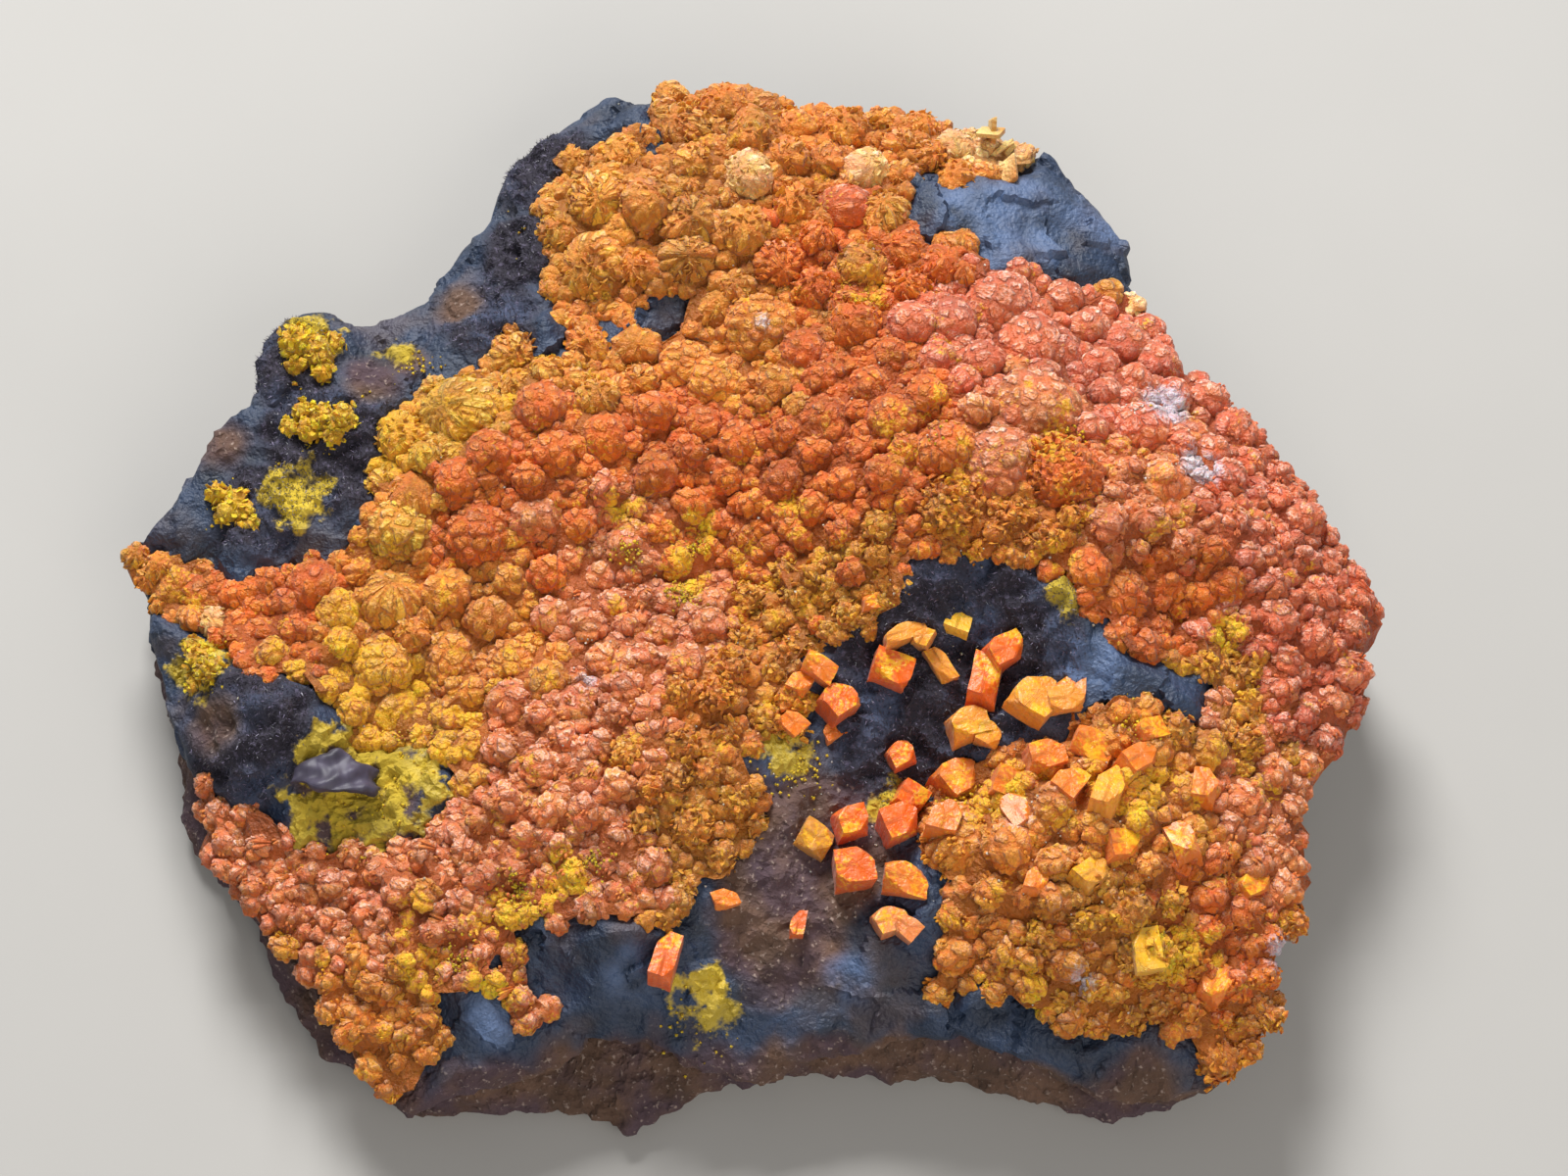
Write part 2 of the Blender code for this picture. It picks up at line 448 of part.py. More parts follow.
def top_ring():
    """The rock's upper edge in plan, drawn in where the druse hangs over it."""
    rim_plan = subdivide(RIM, RIM_SPACING)
    just_inside = [(RIM_PROBE * x, RIM_PROBE * y) for x, y in rim_plan]
    covered = crust_depth(just_inside) > 0.0
    ring = []
    for (x, y), under_crust in zip(rim_plan, covered):
        size = math.hypot(x, y)
        keep = 1.0 - (RIM_OVERHANG if under_crust else 0.0) / size
        ring.append((x * keep, y * keep))
    return ring


def seen_top(plan, edge_count):
    """The rock's top surface over plan points; the hummocks fade towards its edge."""
    heights = rock_height(plan)
    bare = np.clip(HUMMOCK_MARGIN - patch_clearance(plan), 0.0, 1.0)
    top = []
    for index, ((x, y), z, share) in enumerate(zip(plan, heights, bare)):
        lift = share * hummocks(x, y)
        top.append((x, y, z + (HUMMOCK_EDGE_SHARE * lift if index < edge_count else lift)))
    return top


def foot_ring(rim):
    """Where the side wall meets the chamfer round the base."""
    foot = []
    for x, y, _ in rim:
        direction = Vector((x, y)).normalized()
        wave = noise.noise(Vector((x / FOOT_WAVE, y / FOOT_WAVE, 3.0)))
        far = reach(FOOT, direction) + FOOT_WOBBLE * wave
        foot.append((direction.x * far, direction.y * far, FOOT_HEIGHT))
    return foot


def earth_ring(foot, undercut):
    """The earthy layer's belly, between the foot and the undercut."""
    earth = []
    for low, high in zip(foot, undercut):
        wave = noise.noise(Vector((low[0] / EARTH_WAVE, low[1] / EARTH_WAVE, 4.0)))
        bulge = EARTH_BULGE + EARTH_WOBBLE * wave
        middle = [EARTH_LOW_SHARE * low[i] + (1.0 - EARTH_LOW_SHARE) * high[i] for i in range(3)]
        away = Vector((middle[0], middle[1])).normalized()
        earth.append((middle[0] + away.x * bulge, middle[1] + away.y * bulge, middle[2]))
    return earth


def hollowed(underside):
    """The base's points, lifted off the flat where the underside has a hollow."""
    lifted = []
    for x, y in underside:
        rise = 0.0
        for hx, hy, radius, depth in BASE_HOLLOWS:
            share = max(0.0, 1.0 - math.dist((x, y), (hx, hy)) / radius)
            rise = max(rise, depth * share)
        lifted.append((x, y, rise))
    return lifted


def build_matrix():
    """The rock: a relief on top, a wall with a ledge under its hard upper layer, a flat base."""
    ring = top_ring()

    def spacing_at(at):
        return np.where(crust_depth(at) < BARE_MARGIN, BARE_SPACING, COVERED_SPACING)

    inner = scatter(ring, spacing_at, seed=4)
    top = seen_top(ring + inner, len(ring))
    rim = top[:len(ring)]

    def ledge(x, y):
        return -LEDGE_DEPTH if y < FRONT_Y else -SHALLOW_LEDGE * LEDGE_DEPTH

    hard_layer = wall_ring(rim, HARD_LAYER_DROP, lambda x, y: HARD_LAYER_PROUD, 1.0)
    undercut = wall_ring(rim, UNDERCUT_DROP, ledge, 2.0)
    foot = foot_ring(rim)
    earth = earth_ring(foot, undercut)
    base_plan = []
    for x, y, _ in foot:
        keep = 1.0 - BASE_CHAMFER / math.hypot(x, y)
        base_plan.append((x * keep, y * keep))
    base_inner = scatter(base_plan, lambda at: np.full(len(at), UNDERSIDE_SPACING), seed=9)
    underside = hollowed(base_plan + base_inner)

    mesh = bmesh.new()
    layers = [top, hard_layer, undercut, earth, foot, underside]
    verts = [[mesh.verts.new(Vector(p)) for p in layer] for layer in layers]
    for face in triangulate(ring, inner):
        mesh.faces.new([verts[0][i] for i in face])
    for upper, lower in zip(verts, verts[1:]):
        for i in range(len(ring)):
            j = (i + 1) % len(ring)
            mesh.faces.new([upper[i], upper[j], lower[j], lower[i]])
    for face in triangulate(base_plan, base_inner):
        mesh.faces.new([verts[-1][i] for i in face])
    bmesh.ops.recalc_face_normals(mesh, faces=mesh.faces)
    bmesh.ops.triangulate(mesh, faces=mesh.faces)
    return mesh


def lump_radius(x, y):
    """How large a lump grows here, blended from the sizes given for its surroundings."""
    total = 0.0
    weight = 0.0
    for px, py, radius in LUMP_SIZES:
        near = 1.0 / ((x - px) ** 2 + (y - py) ** 2 + 4.0) ** 1.5
        total += near * radius
        weight += near
    return total / weight


def grow_lumps():
    """The druse's lumps: those that stand out first, then smaller ones filling the rest."""
    lumps = list(NOTABLE_LUMPS)
    draw = random.Random(21)
    trials = [(draw.uniform(*FIELD_X), draw.uniform(*LUMP_FIELD_Y)) for _ in range(LUMP_TRIALS)]
    depths = crust_depth(trials)
    for (x, y), depth in zip(trials, depths):
        radius = lump_radius(x, y) * draw.uniform(*LUMP_VARIATION)
        if depth < LUMP_EDGE_MARGIN * radius:
            continue
        clear = all(
            math.hypot(x - a, y - b) > LUMP_CLOSENESS * (radius + r)
            for a, b, r in lumps
            if abs(x - a) < 4.5 and abs(y - b) < 4.5
        )
        if clear:
            lumps.append((x, y, radius))
    return lumps


def add_ball(mesh, centre, radii, turn=0.0, detail=2):
    place = Matrix.Translation(centre) @ Matrix.Rotation(turn, 4, "Z") @ Matrix.Diagonal((*radii, 1.0))
    bmesh.ops.create_icosphere(mesh, subdivisions=detail, radius=1.0, matrix=place)


def build_crust():
    """Balls of crystals over a thin sheet of smaller ones that ties them together."""
    mesh = bmesh.new()
    lumps = grow_lumps()
    seen = SEEN_HEIGHT([lump[:2] for lump in lumps])
    draw = random.Random(5)
    for (x, y, radius), top in zip(lumps, seen):
        flat = draw.uniform(*LUMP_FLATNESS)
        stretch = draw.uniform(*LUMP_STRETCH)
        radii = (radius * stretch, radius / stretch, radius * flat)
        rise = draw.uniform(*LUMP_RISE)
        add_ball(mesh, (x, y, top + rise - LUMP_SINK * radius), radii, draw.uniform(0.0, math.pi))
    sheet = [
        (-31.0 + SHEET_SPACING * (i + 0.5 * (j % 2)), -26.5 + SHEET_SPACING * 0.87 * j)
        for j in range(54) for i in range(55)
    ]
    depths = crust_depth(sheet)
    rock = rock_height(sheet)
    for (x, y), depth, z in zip(sheet, depths, rock):
        if depth > SHEET_MARGIN:
            add_ball(mesh, (x, y, z + SHEET_LIFT), SHEET_BALL, detail=1)
    return mesh


def slab_crystal(mesh, length, width, height, place):
    """A tabular crystal: a block with its upper edges bevelled."""
    bmesh.ops.create_cube(mesh, size=1.0)
    for vert in mesh.verts:
        if vert.co.z > 0.0:
            vert.co.x *= CRYSTAL_TAPER
            vert.co.y *= CRYSTAL_TAPER
    edges = [e for e in mesh.edges if all(v.co.z > 0.0 for v in e.verts)]
    bmesh.ops.bevel(
        mesh, geom=edges, offset=CRYSTAL_BEVEL, segments=1, profile=0.5, affect="EDGES", clamp_overlap=True
    )
    size = Matrix.Diagonal((length, width, height, 1.0))
    bmesh.ops.transform(mesh, matrix=place @ size, verts=mesh.verts)


def build_hollow_crystal(x, y, length, width, height, turn, lean):
    z = float(rock_height([(x, y)])[0])
    place = (
        Matrix.Translation((x, y, z + CRYSTAL_SEAT * height))
        @ Matrix.Rotation(math.radians(turn), 4, "Z")
        @ Matrix.Rotation(math.radians(lean), 4, "Y")
    )
    mesh = bmesh.new()
    slab_crystal(mesh, length, width, CRYSTAL_ROOT * height, place)
    return mesh


def build_yellow_cluster(balls):
    mesh = bmesh.new()
    for x, y, radius in balls:
        z = float(rock_height([(x, y)])[0])
        add_ball(mesh, (x, y, z + CLUSTER_SEAT), (radius, radius, CLUSTER_FLATNESS * radius))
    return mesh


def build_flake():
    """A thin curved plate, arched along its length, with a broken outline."""
    mesh = bmesh.new()
    length, width, thick = FLAKE_SIZE
    bmesh.ops.create_grid(mesh, x_segments=6, y_segments=3, size=0.5)
    ground = float(rock_height([FLAKE_PLACE])[0])
    for vert in mesh.verts:
        u = 2.0 * vert.co.x
        v = 2.0 * vert.co.y
        edge = 1.0 - 0.12 * math.cos(5.0 * u + 3.0 * v)
        vert.co.x = 0.5 * length * u * edge
        vert.co.y = 0.5 * width * v * (1.0 - FLAKE_TAPER * u * u) * edge
        vert.co.z = FLAKE_ARCH * (1.0 - u * u) - FLAKE_TILT * v
    bmesh.ops.solidify(mesh, geom=list(mesh.faces), thickness=thick)
    bmesh.ops.recalc_face_normals(mesh, faces=mesh.faces)
    place = Matrix.Translation((*FLAKE_PLACE, ground + FLAKE_SEAT)) @ Matrix.Rotation(FLAKE_TURN, 4, "Z")
    bmesh.ops.transform(mesh, matrix=place, verts=mesh.verts)
    return mesh


def to_object(name, mesh, collection, finish=None):
    data = bpy.data.meshes.new(name)
    mesh.to_mesh(data)
    mesh.free()
    made = bpy.data.objects.new(name, data)
    collection.objects.link(made)
    if finish:
        data.materials.append(finish)
    return made


def bake(thing):
    """Replace an object's mesh by what its modifiers make of it."""
    graph = bpy.context.evaluated_depsgraph_get()
    data = bpy.data.meshes.new_from_object(thing.evaluated_get(graph))
    thing.modifiers.clear()
    thing.data = data


def fuse(thing, voxel):
    """Join touching balls in one skin."""
    remesh = thing.modifiers.new("Fuse", "REMESH")
    remesh.mode = "VOXEL"
    remesh.voxel_size = voxel
    bake(thing)


def cut(thing, cutter, operation="DIFFERENCE"):
    boolean = thing.modifiers.new("Cut", "BOOLEAN")
    boolean.operation = operation
    boolean.solver = "EXACT"
    boolean.object = cutter
    bake(thing)


def thin_out(thing, triangles):
    """Fewer, larger facets."""
    thing.data.calc_loop_triangles()
    share = triangles / len(thing.data.loop_triangles)
    if share < 1.0:
        decimate = thing.modifiers.new("Facets", "DECIMATE")
        decimate.ratio = share
        decimate.use_collapse_triangulate = True
        bake(thing)


def keep_largest_body(thing):
    """Drop the crumbs that a cut leaves behind."""
    mesh = bmesh.new()
    mesh.from_mesh(thing.data)
    waiting = set(mesh.faces)
    bodies = []
    while waiting:
        front = [waiting.pop()]
        body = list(front)
        while front:
            face = front.pop()
            for edge in face.edges:
                for other in edge.link_faces:
                    if other in waiting:
                        waiting.remove(other)
                        front.append(other)
                        body.append(other)
        bodies.append(body)
    bodies.sort(key=lambda body: sum(face.calc_area() for face in body))
    crumbs = [face for body in bodies[:-1] for face in body]
    bmesh.ops.delete(mesh, geom=crumbs, context="FACES")
    bmesh.ops.triangulate(mesh, faces=mesh.faces)
    mesh.to_mesh(thing.data)
    mesh.free()


def swollen_copy(thing, swell, collection):
    """A copy pushed out along its normals, used to cut what rests on the original."""
    made = bpy.data.objects.new(thing.name + "_cutter", thing.data.copy())
    collection.objects.link(made)
    made.hide_render = True
    made.display_type = "WIRE"
    normals = [v.normal.copy() for v in made.data.vertices]
    for vert, normal in zip(made.data.vertices, normals):
        vert.co += swell * normal
    made.data.update()
    return made


def settle(things):
    """Bring the whole specimen to metres, its box's middle over the origin and its base at zero."""
    corners = np.array([v.co for thing in things for v in thing.data.vertices])
    low = corners.min(axis=0)
    high = corners.max(axis=0)
    shift = Matrix.Translation((-(low[0] + high[0]) / 2.0, -(low[1] + high[1]) / 2.0, -low[2]))
    for thing in things:
        thing.data.transform(Matrix.Scale(MM, 4) @ shift)
        thing.data.update()


def add_clusters(specimen, rock_cutter, finish):
    for name, balls in YELLOW_CLUSTERS.items():
        cluster = to_object(name, build_yellow_cluster(balls), specimen, finish)
        fuse(cluster, CLUSTER_VOXEL)
        thin_out(cluster, CLUSTER_TRIANGLES)
        cut(cluster, rock_cutter)
        keep_largest_body(cluster)


def add_hollow_crystals(specimen, cutters, rock_cutter, crust_cutter, finish):
    for name, crystals in HOLLOW_CRYSTALS.items():
        group = to_object(name, build_hollow_crystal(*crystals[0]), specimen, finish)
        for crystal in crystals[1:]:
            grown = to_object(name + "_cutter", build_hollow_crystal(*crystal), cutters)
            cut(group, grown, "UNION")
            bpy.data.objects.remove(grown)
        cut(group, rock_cutter)
        cut(group, crust_cutter)
        keep_largest_body(group)


def main():
    clear_scene()
    specimen = bpy.data.collections.new("francevillite_on_matrix")
    cutters = bpy.data.collections.new("cutters")
    bpy.context.scene.collection.children.link(specimen)
    bpy.context.scene.collection.children.link(cutters)

    goethite = material("Blue-black goethite", (0.030, 0.034, 0.055), 0.6)
    orange = material("Orange francevillite", (0.70, 0.13, 0.022), 0.45)
    amber = material("Amber francevillite crystal", (0.72, 0.16, 0.02), 0.3)
    yellow = material("Yellow powder", (0.62, 0.48, 0.04), 0.8)
    purple = material("Purple-brown flake", (0.05, 0.03, 0.04), 0.5)

    rock = to_object("matrix", build_matrix(), specimen, goethite)
    rock_cutter = swollen_copy(rock, CONTACT_GAP, cutters)

    crust = to_object("francevillite_crust", build_crust(), specimen, orange)
    fuse(crust, CRUST_VOXEL)
    thin_out(crust, CRUST_TRIANGLES)
    cut(crust, rock_cutter)
    keep_largest_body(crust)

    add_clusters(specimen, rock_cutter, yellow)

    crust_cutter = swollen_copy(crust, CONTACT_GAP, cutters)
    fuse(crust_cutter, CRUST_VOXEL)
    thin_out(crust_cutter, 2 * CRUST_TRIANGLES)
    add_hollow_crystals(specimen, cutters, rock_cutter, crust_cutter, amber)

    flake = to_object("dark_flake", build_flake(), specimen, purple)
    cut(flake, rock_cutter)
    cut(flake, crust_cutter)
    keep_largest_body(flake)

    for cutter in list(cutters.objects):
        bpy.data.objects.remove(cutter)
    settle(list(specimen.objects))


main()
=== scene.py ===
"""Francevillite on matrix: the looks of the specimen, laid out as a Blender add-on.

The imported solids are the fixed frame. Plan measures repeated here are in the same drawn
millimetres as the solids, and place() brings them into the frame.
"""

import math
import random

import bmesh
import bpy
import numpy as np
from mathutils import Euler, Matrix, Vector, noise
from mathutils.bvhtree import BVHTree


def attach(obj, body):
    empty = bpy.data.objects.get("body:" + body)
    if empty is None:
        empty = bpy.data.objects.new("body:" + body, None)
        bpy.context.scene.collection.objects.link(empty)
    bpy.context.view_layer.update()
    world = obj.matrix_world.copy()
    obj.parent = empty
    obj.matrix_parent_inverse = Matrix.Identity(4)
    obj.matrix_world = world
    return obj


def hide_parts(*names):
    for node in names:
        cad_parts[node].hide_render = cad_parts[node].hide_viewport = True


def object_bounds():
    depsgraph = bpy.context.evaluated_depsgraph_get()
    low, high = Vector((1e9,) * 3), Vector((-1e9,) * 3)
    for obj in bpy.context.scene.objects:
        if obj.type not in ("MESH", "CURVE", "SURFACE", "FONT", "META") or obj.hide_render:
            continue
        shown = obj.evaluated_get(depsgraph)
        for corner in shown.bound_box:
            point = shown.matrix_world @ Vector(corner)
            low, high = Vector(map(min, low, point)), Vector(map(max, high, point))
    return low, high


bl_info = {
    "name": "Francevillite on matrix",
    "version": (1, 0, 0),
    "blender": (4, 5, 0),
    "location": "View3D > Sidebar > Francevillite",
    "description": "Builds the crystals, the rock and the stage of a francevillite specimen",
    "category": "Object",
}

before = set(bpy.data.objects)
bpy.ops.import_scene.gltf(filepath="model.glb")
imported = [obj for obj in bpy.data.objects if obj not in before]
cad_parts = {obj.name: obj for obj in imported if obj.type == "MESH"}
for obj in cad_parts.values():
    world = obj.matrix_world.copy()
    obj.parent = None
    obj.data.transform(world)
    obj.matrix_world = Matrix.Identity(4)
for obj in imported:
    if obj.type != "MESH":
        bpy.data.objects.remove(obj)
CAD_LOW, CAD_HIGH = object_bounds()

MM = 0.001
# How far the solids were moved from drawn millimetres to centre their box
DRAWN_SHIFT = (-0.042, 0.341)
# The point of the specimen in the middle of the picture, and the camera's distance from it
AIM = (1.65, -0.8, 7.0)
CAMERA_DISTANCE = 216.0
CAMERA_ELEVATION = 68.0
CAMERA_LENS = 102.1

# The specimen's upper edge in plan, clockwise from its west tip
RIM = [
    (-31.0, 1.4), (-29.5, 2.2), (-27.9, 3.8), (-27.0, 5.8), (-25.6, 8.0), (-24.4, 8.4), (-24.0, 10.4),
    (-23.6, 12.0), (-22.2, 13.4), (-21.2, 13.8), (-20.1, 13.3), (-18.6, 13.2), (-16.4, 14.9),
    (-14.8, 16.4), (-14.5, 17.6), (-13.2, 18.7), (-12.4, 21.0), (-11.4, 22.7), (-9.2, 23.9),
    (-7.1, 25.4), (-4.1, 25.5), (-1.9, 25.7), (-0.5, 25.5), (2.9, 24.8), (7.3, 24.3), (11.6, 23.3),
    (14.9, 21.9), (16.5, 19.6), (18.6, 17.3), (19.0, 15.4), (20.5, 12.8), (21.6, 10.7), (23.6, 9.0),
    (25.5, 6.7), (27.2, 3.9), (28.3, 1.6), (31.0, -1.4), (30.0, -3.6), (29.5, -6.5), (28.9, -8.2),
    (27.3, -10.6), (26.5, -12.0), (26.6, -14.9), (26.1, -18.2), (24.8, -19.4), (25.3, -21.6),
    (22.8, -25.3), (20.0, -25.6), (16.3, -25.3), (13.5, -24.1), (9.9, -22.8), (6.2, -22.8),
    (3.0, -23.5), (0.7, -24.6), (-2.0, -24.2), (-4.8, -22.7), (-7.6, -22.3), (-8.4, -23.4),
    (-11.2, -24.5), (-16.2, -26.1), (-17.8, -24.9), (-20.0, -22.2), (-22.0, -19.0), (-25.8, -14.6),
    (-26.7, -13.4), (-27.0, -8.9), (-28.1, -6.0), (-29.9, -1.3),
]

# Patches of bare rock, in plan; some run out past the rim
BARE_PATCHES = {
    "northwest flank": [
        (-31.5, 2.2), (-28.6, 1.8), (-26.0, 1.6), (-24.6, -0.9), (-23.6, 0.6), (-21.8, 1.0),
        (-19.6, 1.0), (-18.6, 2.0), (-19.0, 4.9), (-18.6, 6.6), (-16.2, 9.4), (-14.2, 9.4),
        (-12.7, 11.4), (-11.6, 12.4), (-9.7, 10.6), (-8.9, 10.4), (-10.1, 12.8), (-10.4, 15.2),
        (-10.8, 17.8), (-10.4, 20.0), (-9.4, 22.3), (-5.5, 23.0), (-4.5, 25.4), (-4.5, 28.0),
        (-33.0, 28.0), (-33.0, 2.5),
    ],
    "northeast blue face": [
        (8.2, 18.7), (8.6, 20.1), (10.6, 18.6), (12.0, 19.9), (13.6, 20.3), (14.8, 21.8),
        (17.0, 24.0), (22.0, 15.5), (18.9, 15.3), (17.0, 14.5), (15.3, 14.2), (14.3, 15.4),
        (11.4, 14.8), (10.8, 16.7), (8.4, 16.6),
    ],
    "hollow and brown slope": [
        (9.0, -0.9), (12.7, -1.4), (15.6, -3.2), (17.7, -7.0), (17.0, -7.9), (15.4, -8.2),
        (14.0, -9.6), (11.1, -9.8), (9.5, -10.2), (8.7, -12.4), (7.9, -14.0), (8.9, -16.6),
        (8.9, -19.7), (7.7, -20.6), (8.4, -21.5), (12.2, -21.7), (15.9, -23.5), (18.6, -22.7),
        (20.8, -23.8), (22.0, -25.4), (22.0, -29.0), (-10.0, -29.0), (-9.9, -22.6), (-8.0, -20.4),
        (-7.9, -18.0), (-5.0, -18.4), (-3.0, -18.2), (-2.2, -16.5), (-0.8, -16.0), (0.9, -13.6),
        (1.2, -11.6), (-0.4, -10.9), (2.2, -8.9), (3.3, -7.4), (2.6, -6.0), (3.4, -4.5),
        (5.9, -4.3), (7.6, -3.0), (7.6, -1.9),
    ],
    "southwest blue facet": [
        (-14.1, -22.3), (-13.9, -21.3), (-12.0, -21.1), (-10.8, -22.6), (-10.0, -23.2),
        (-10.0, -28.0), (-16.4, -28.0), (-16.4, -25.4), (-14.9, -24.4), (-13.9, -23.7),
    ],
    "west notch": [
        (-33.0, -0.6), (-29.6, -1.7), (-27.2, -3.0), (-25.4, -3.9), (-24.9, -5.6), (-23.5, -6.7),
        (-21.5, -6.5), (-20.5, -7.4), (-19.4, -8.0), (-19.4, -9.6), (-16.0, -9.2), (-14.6, -10.0),
        (-14.4, -11.4), (-14.9, -12.7), (-16.8, -13.6), (-21.0, -13.3), (-22.2, -12.4),
        (-23.5, -10.8), (-24.6, -11.4), (-24.8, -10.2), (-26.0, -9.5), (-33.0, -9.4),
    ],
    "trench patch": [(18.4, -6.3), (20.8, -6.5), (21.3, -8.0), (19.5, -8.3), (18.6, -7.6)],
    "dark wedge": [(-5.5, 12.6), (-4.2, 13.9), (-2.9, 13.7), (-3.6, 12.2), (-4.9, 11.8)],
    "southwest window": [(-10.6, -18.0), (-9.0, -18.6), (-9.0, -20.8), (-10.4, -20.4)],
}

# The lumps that stand out, as x, y, radius
NOTABLE_LUMPS = [
    (-11.4, 10.7, 1.5), (-13.9, 7.6, 2.1), (-17.0, 6.4, 1.4), (-18.0, 4.1, 0.8), (-16.4, 3.2, 1.4),
    (-16.9, 1.6, 1.8), (-13.2, 1.3, 1.8), (-10.7, 3.6, 0.9), (-10.4, 2.0, 1.3), (-17.3, -1.8, 1.6),
    (-14.6, -1.5, 1.4), (-14.3, -4.6, 1.8), (-11.2, -5.1, 1.5), (-11.4, -7.3, 1.2),
    (-17.6, -5.2, 1.6), (-17.1, -7.1, 1.4), (-20.2, -6.4, 0.7), (-9.8, 14.1, 0.7), (-9.5, 12.2, 0.8),
    (-1.3, 24.2, 1.4), (-3.2, 22.9, 1.6), (-6.2, 21.3, 1.4), (-8.7, 21.7, 1.2), (2.0, 23.0, 1.2),
    (-0.1, 19.8, 1.4), (-5.1, 18.2, 1.4), (-7.6, 18.7, 1.6), (-3.2, 17.4, 1.6), (-0.3, 16.8, 1.4),
    (2.2, 18.3, 1.2), (4.6, 18.2, 1.4), (3.3, 16.3, 0.9), (6.7, 17.8, 1.6), (5.8, 20.5, 1.3),
    (-3.2, 15.5, 1.5), (-7.6, 15.2, 2.1), (-5.4, 15.0, 1.2), (-5.6, 10.9, 1.4), (-8.0, 11.0, 1.2),
    (-3.1, 10.1, 1.6), (-1.7, 9.0, 1.6), (0.7, 11.9, 2.1), (-1.7, 13.1, 1.2), (-0.5, 13.9, 1.0),
    (5.5, 14.8, 1.4), (5.2, 11.4, 1.4), (7.9, 11.3, 1.3), (12.2, 12.9, 2.1), (9.8, 11.4, 1.4),
    (13.6, 10.6, 2.1), (15.0, 10.3, 1.4), (16.6, 11.9, 1.3), (18.3, 11.3, 1.4), (17.6, 14.2, 0.9),
    (19.6, 12.4, 1.0), (19.9, 10.3, 1.4), (14.2, 8.5, 1.0), (13.7, 6.6, 2.3), (10.4, 7.8, 0.9),
    (22.4, 8.4, 1.2), (18.9, 6.1, 1.6), (23.5, 6.9, 1.4), (9.4, 4.1, 1.6), (12.0, 3.4, 2.1),
    (14.8, 2.9, 1.9), (9.6, 1.3, 1.6), (17.1, 0.3, 1.2), (17.7, -2.6, 1.6), (16.2, -1.7, 1.2),
    (10.2, -11.4, 1.9), (10.0, -14.5, 2.1), (12.2, -15.0, 1.4), (18.6, -19.6, 1.6),
    (17.7, -17.9, 1.2), (10.2, 22.0, 1.2), (11.8, 22.0, 1.1), (9.0, 21.4, 0.9), (14.0, 21.0, 0.8),
    (-30.0, 1.2, 0.8), (-28.7, 0.5, 0.9), (-27.9, -0.4, 1.3), (-27.5, 1.0, 0.8), (-25.8, -0.4, 0.9),
    (-28.6, -1.2, 0.8), (-25.9, -2.3, 1.0), (-24.2, -1.8, 0.8), (-23.3, -0.6, 0.9),
    (-21.1, -0.8, 1.4), (-19.8, -2.4, 1.2), (-20.9, 0.4, 0.7), (-23.7, -3.2, 1.0),
    (-22.9, -4.6, 1.0), (-21.9, -3.3, 0.8), (-24.1, -4.9, 0.7), (-21.0, -4.8, 0.6),
    (-22.3, -1.8, 1.0), (-18.8, -0.4, 1.0), (-26.8, -0.8, 1.2), (-19.6, -4.2, 0.9),
    (-29.4, 0.2, 0.8), (2.0, -7.1, 1.0), (2.1, -8.6, 0.8),
]

# How large the lumps between those are, as x, y, radius
LUMP_SIZES = [
    (-4.0, 17.0, 1.35), (4.0, 22.5, 1.1), (-12.0, 6.0, 1.2), (-4.0, 5.0, 1.15), (4.0, 6.0, 1.15),
    (12.0, 11.0, 1.25), (20.0, 6.0, 1.1), (25.0, 0.0, 0.95), (24.0, -12.0, 0.95), (-22.0, -2.0, 1.0),
    (-6.0, -1.0, 0.9), (2.0, -2.5, 0.7), (12.0, 0.5, 0.65), (-8.0, -8.0, 1.0), (-15.0, -15.0, 0.75),
    (-20.0, -17.0, 0.7), (-15.0, -20.0, 0.75), (-5.0, -13.0, 0.85), (14.0, -13.0, 1.1),
    (16.0, -19.0, 0.9), (20.0, -3.0, 0.9), (-17.0, -6.0, 1.1),
]

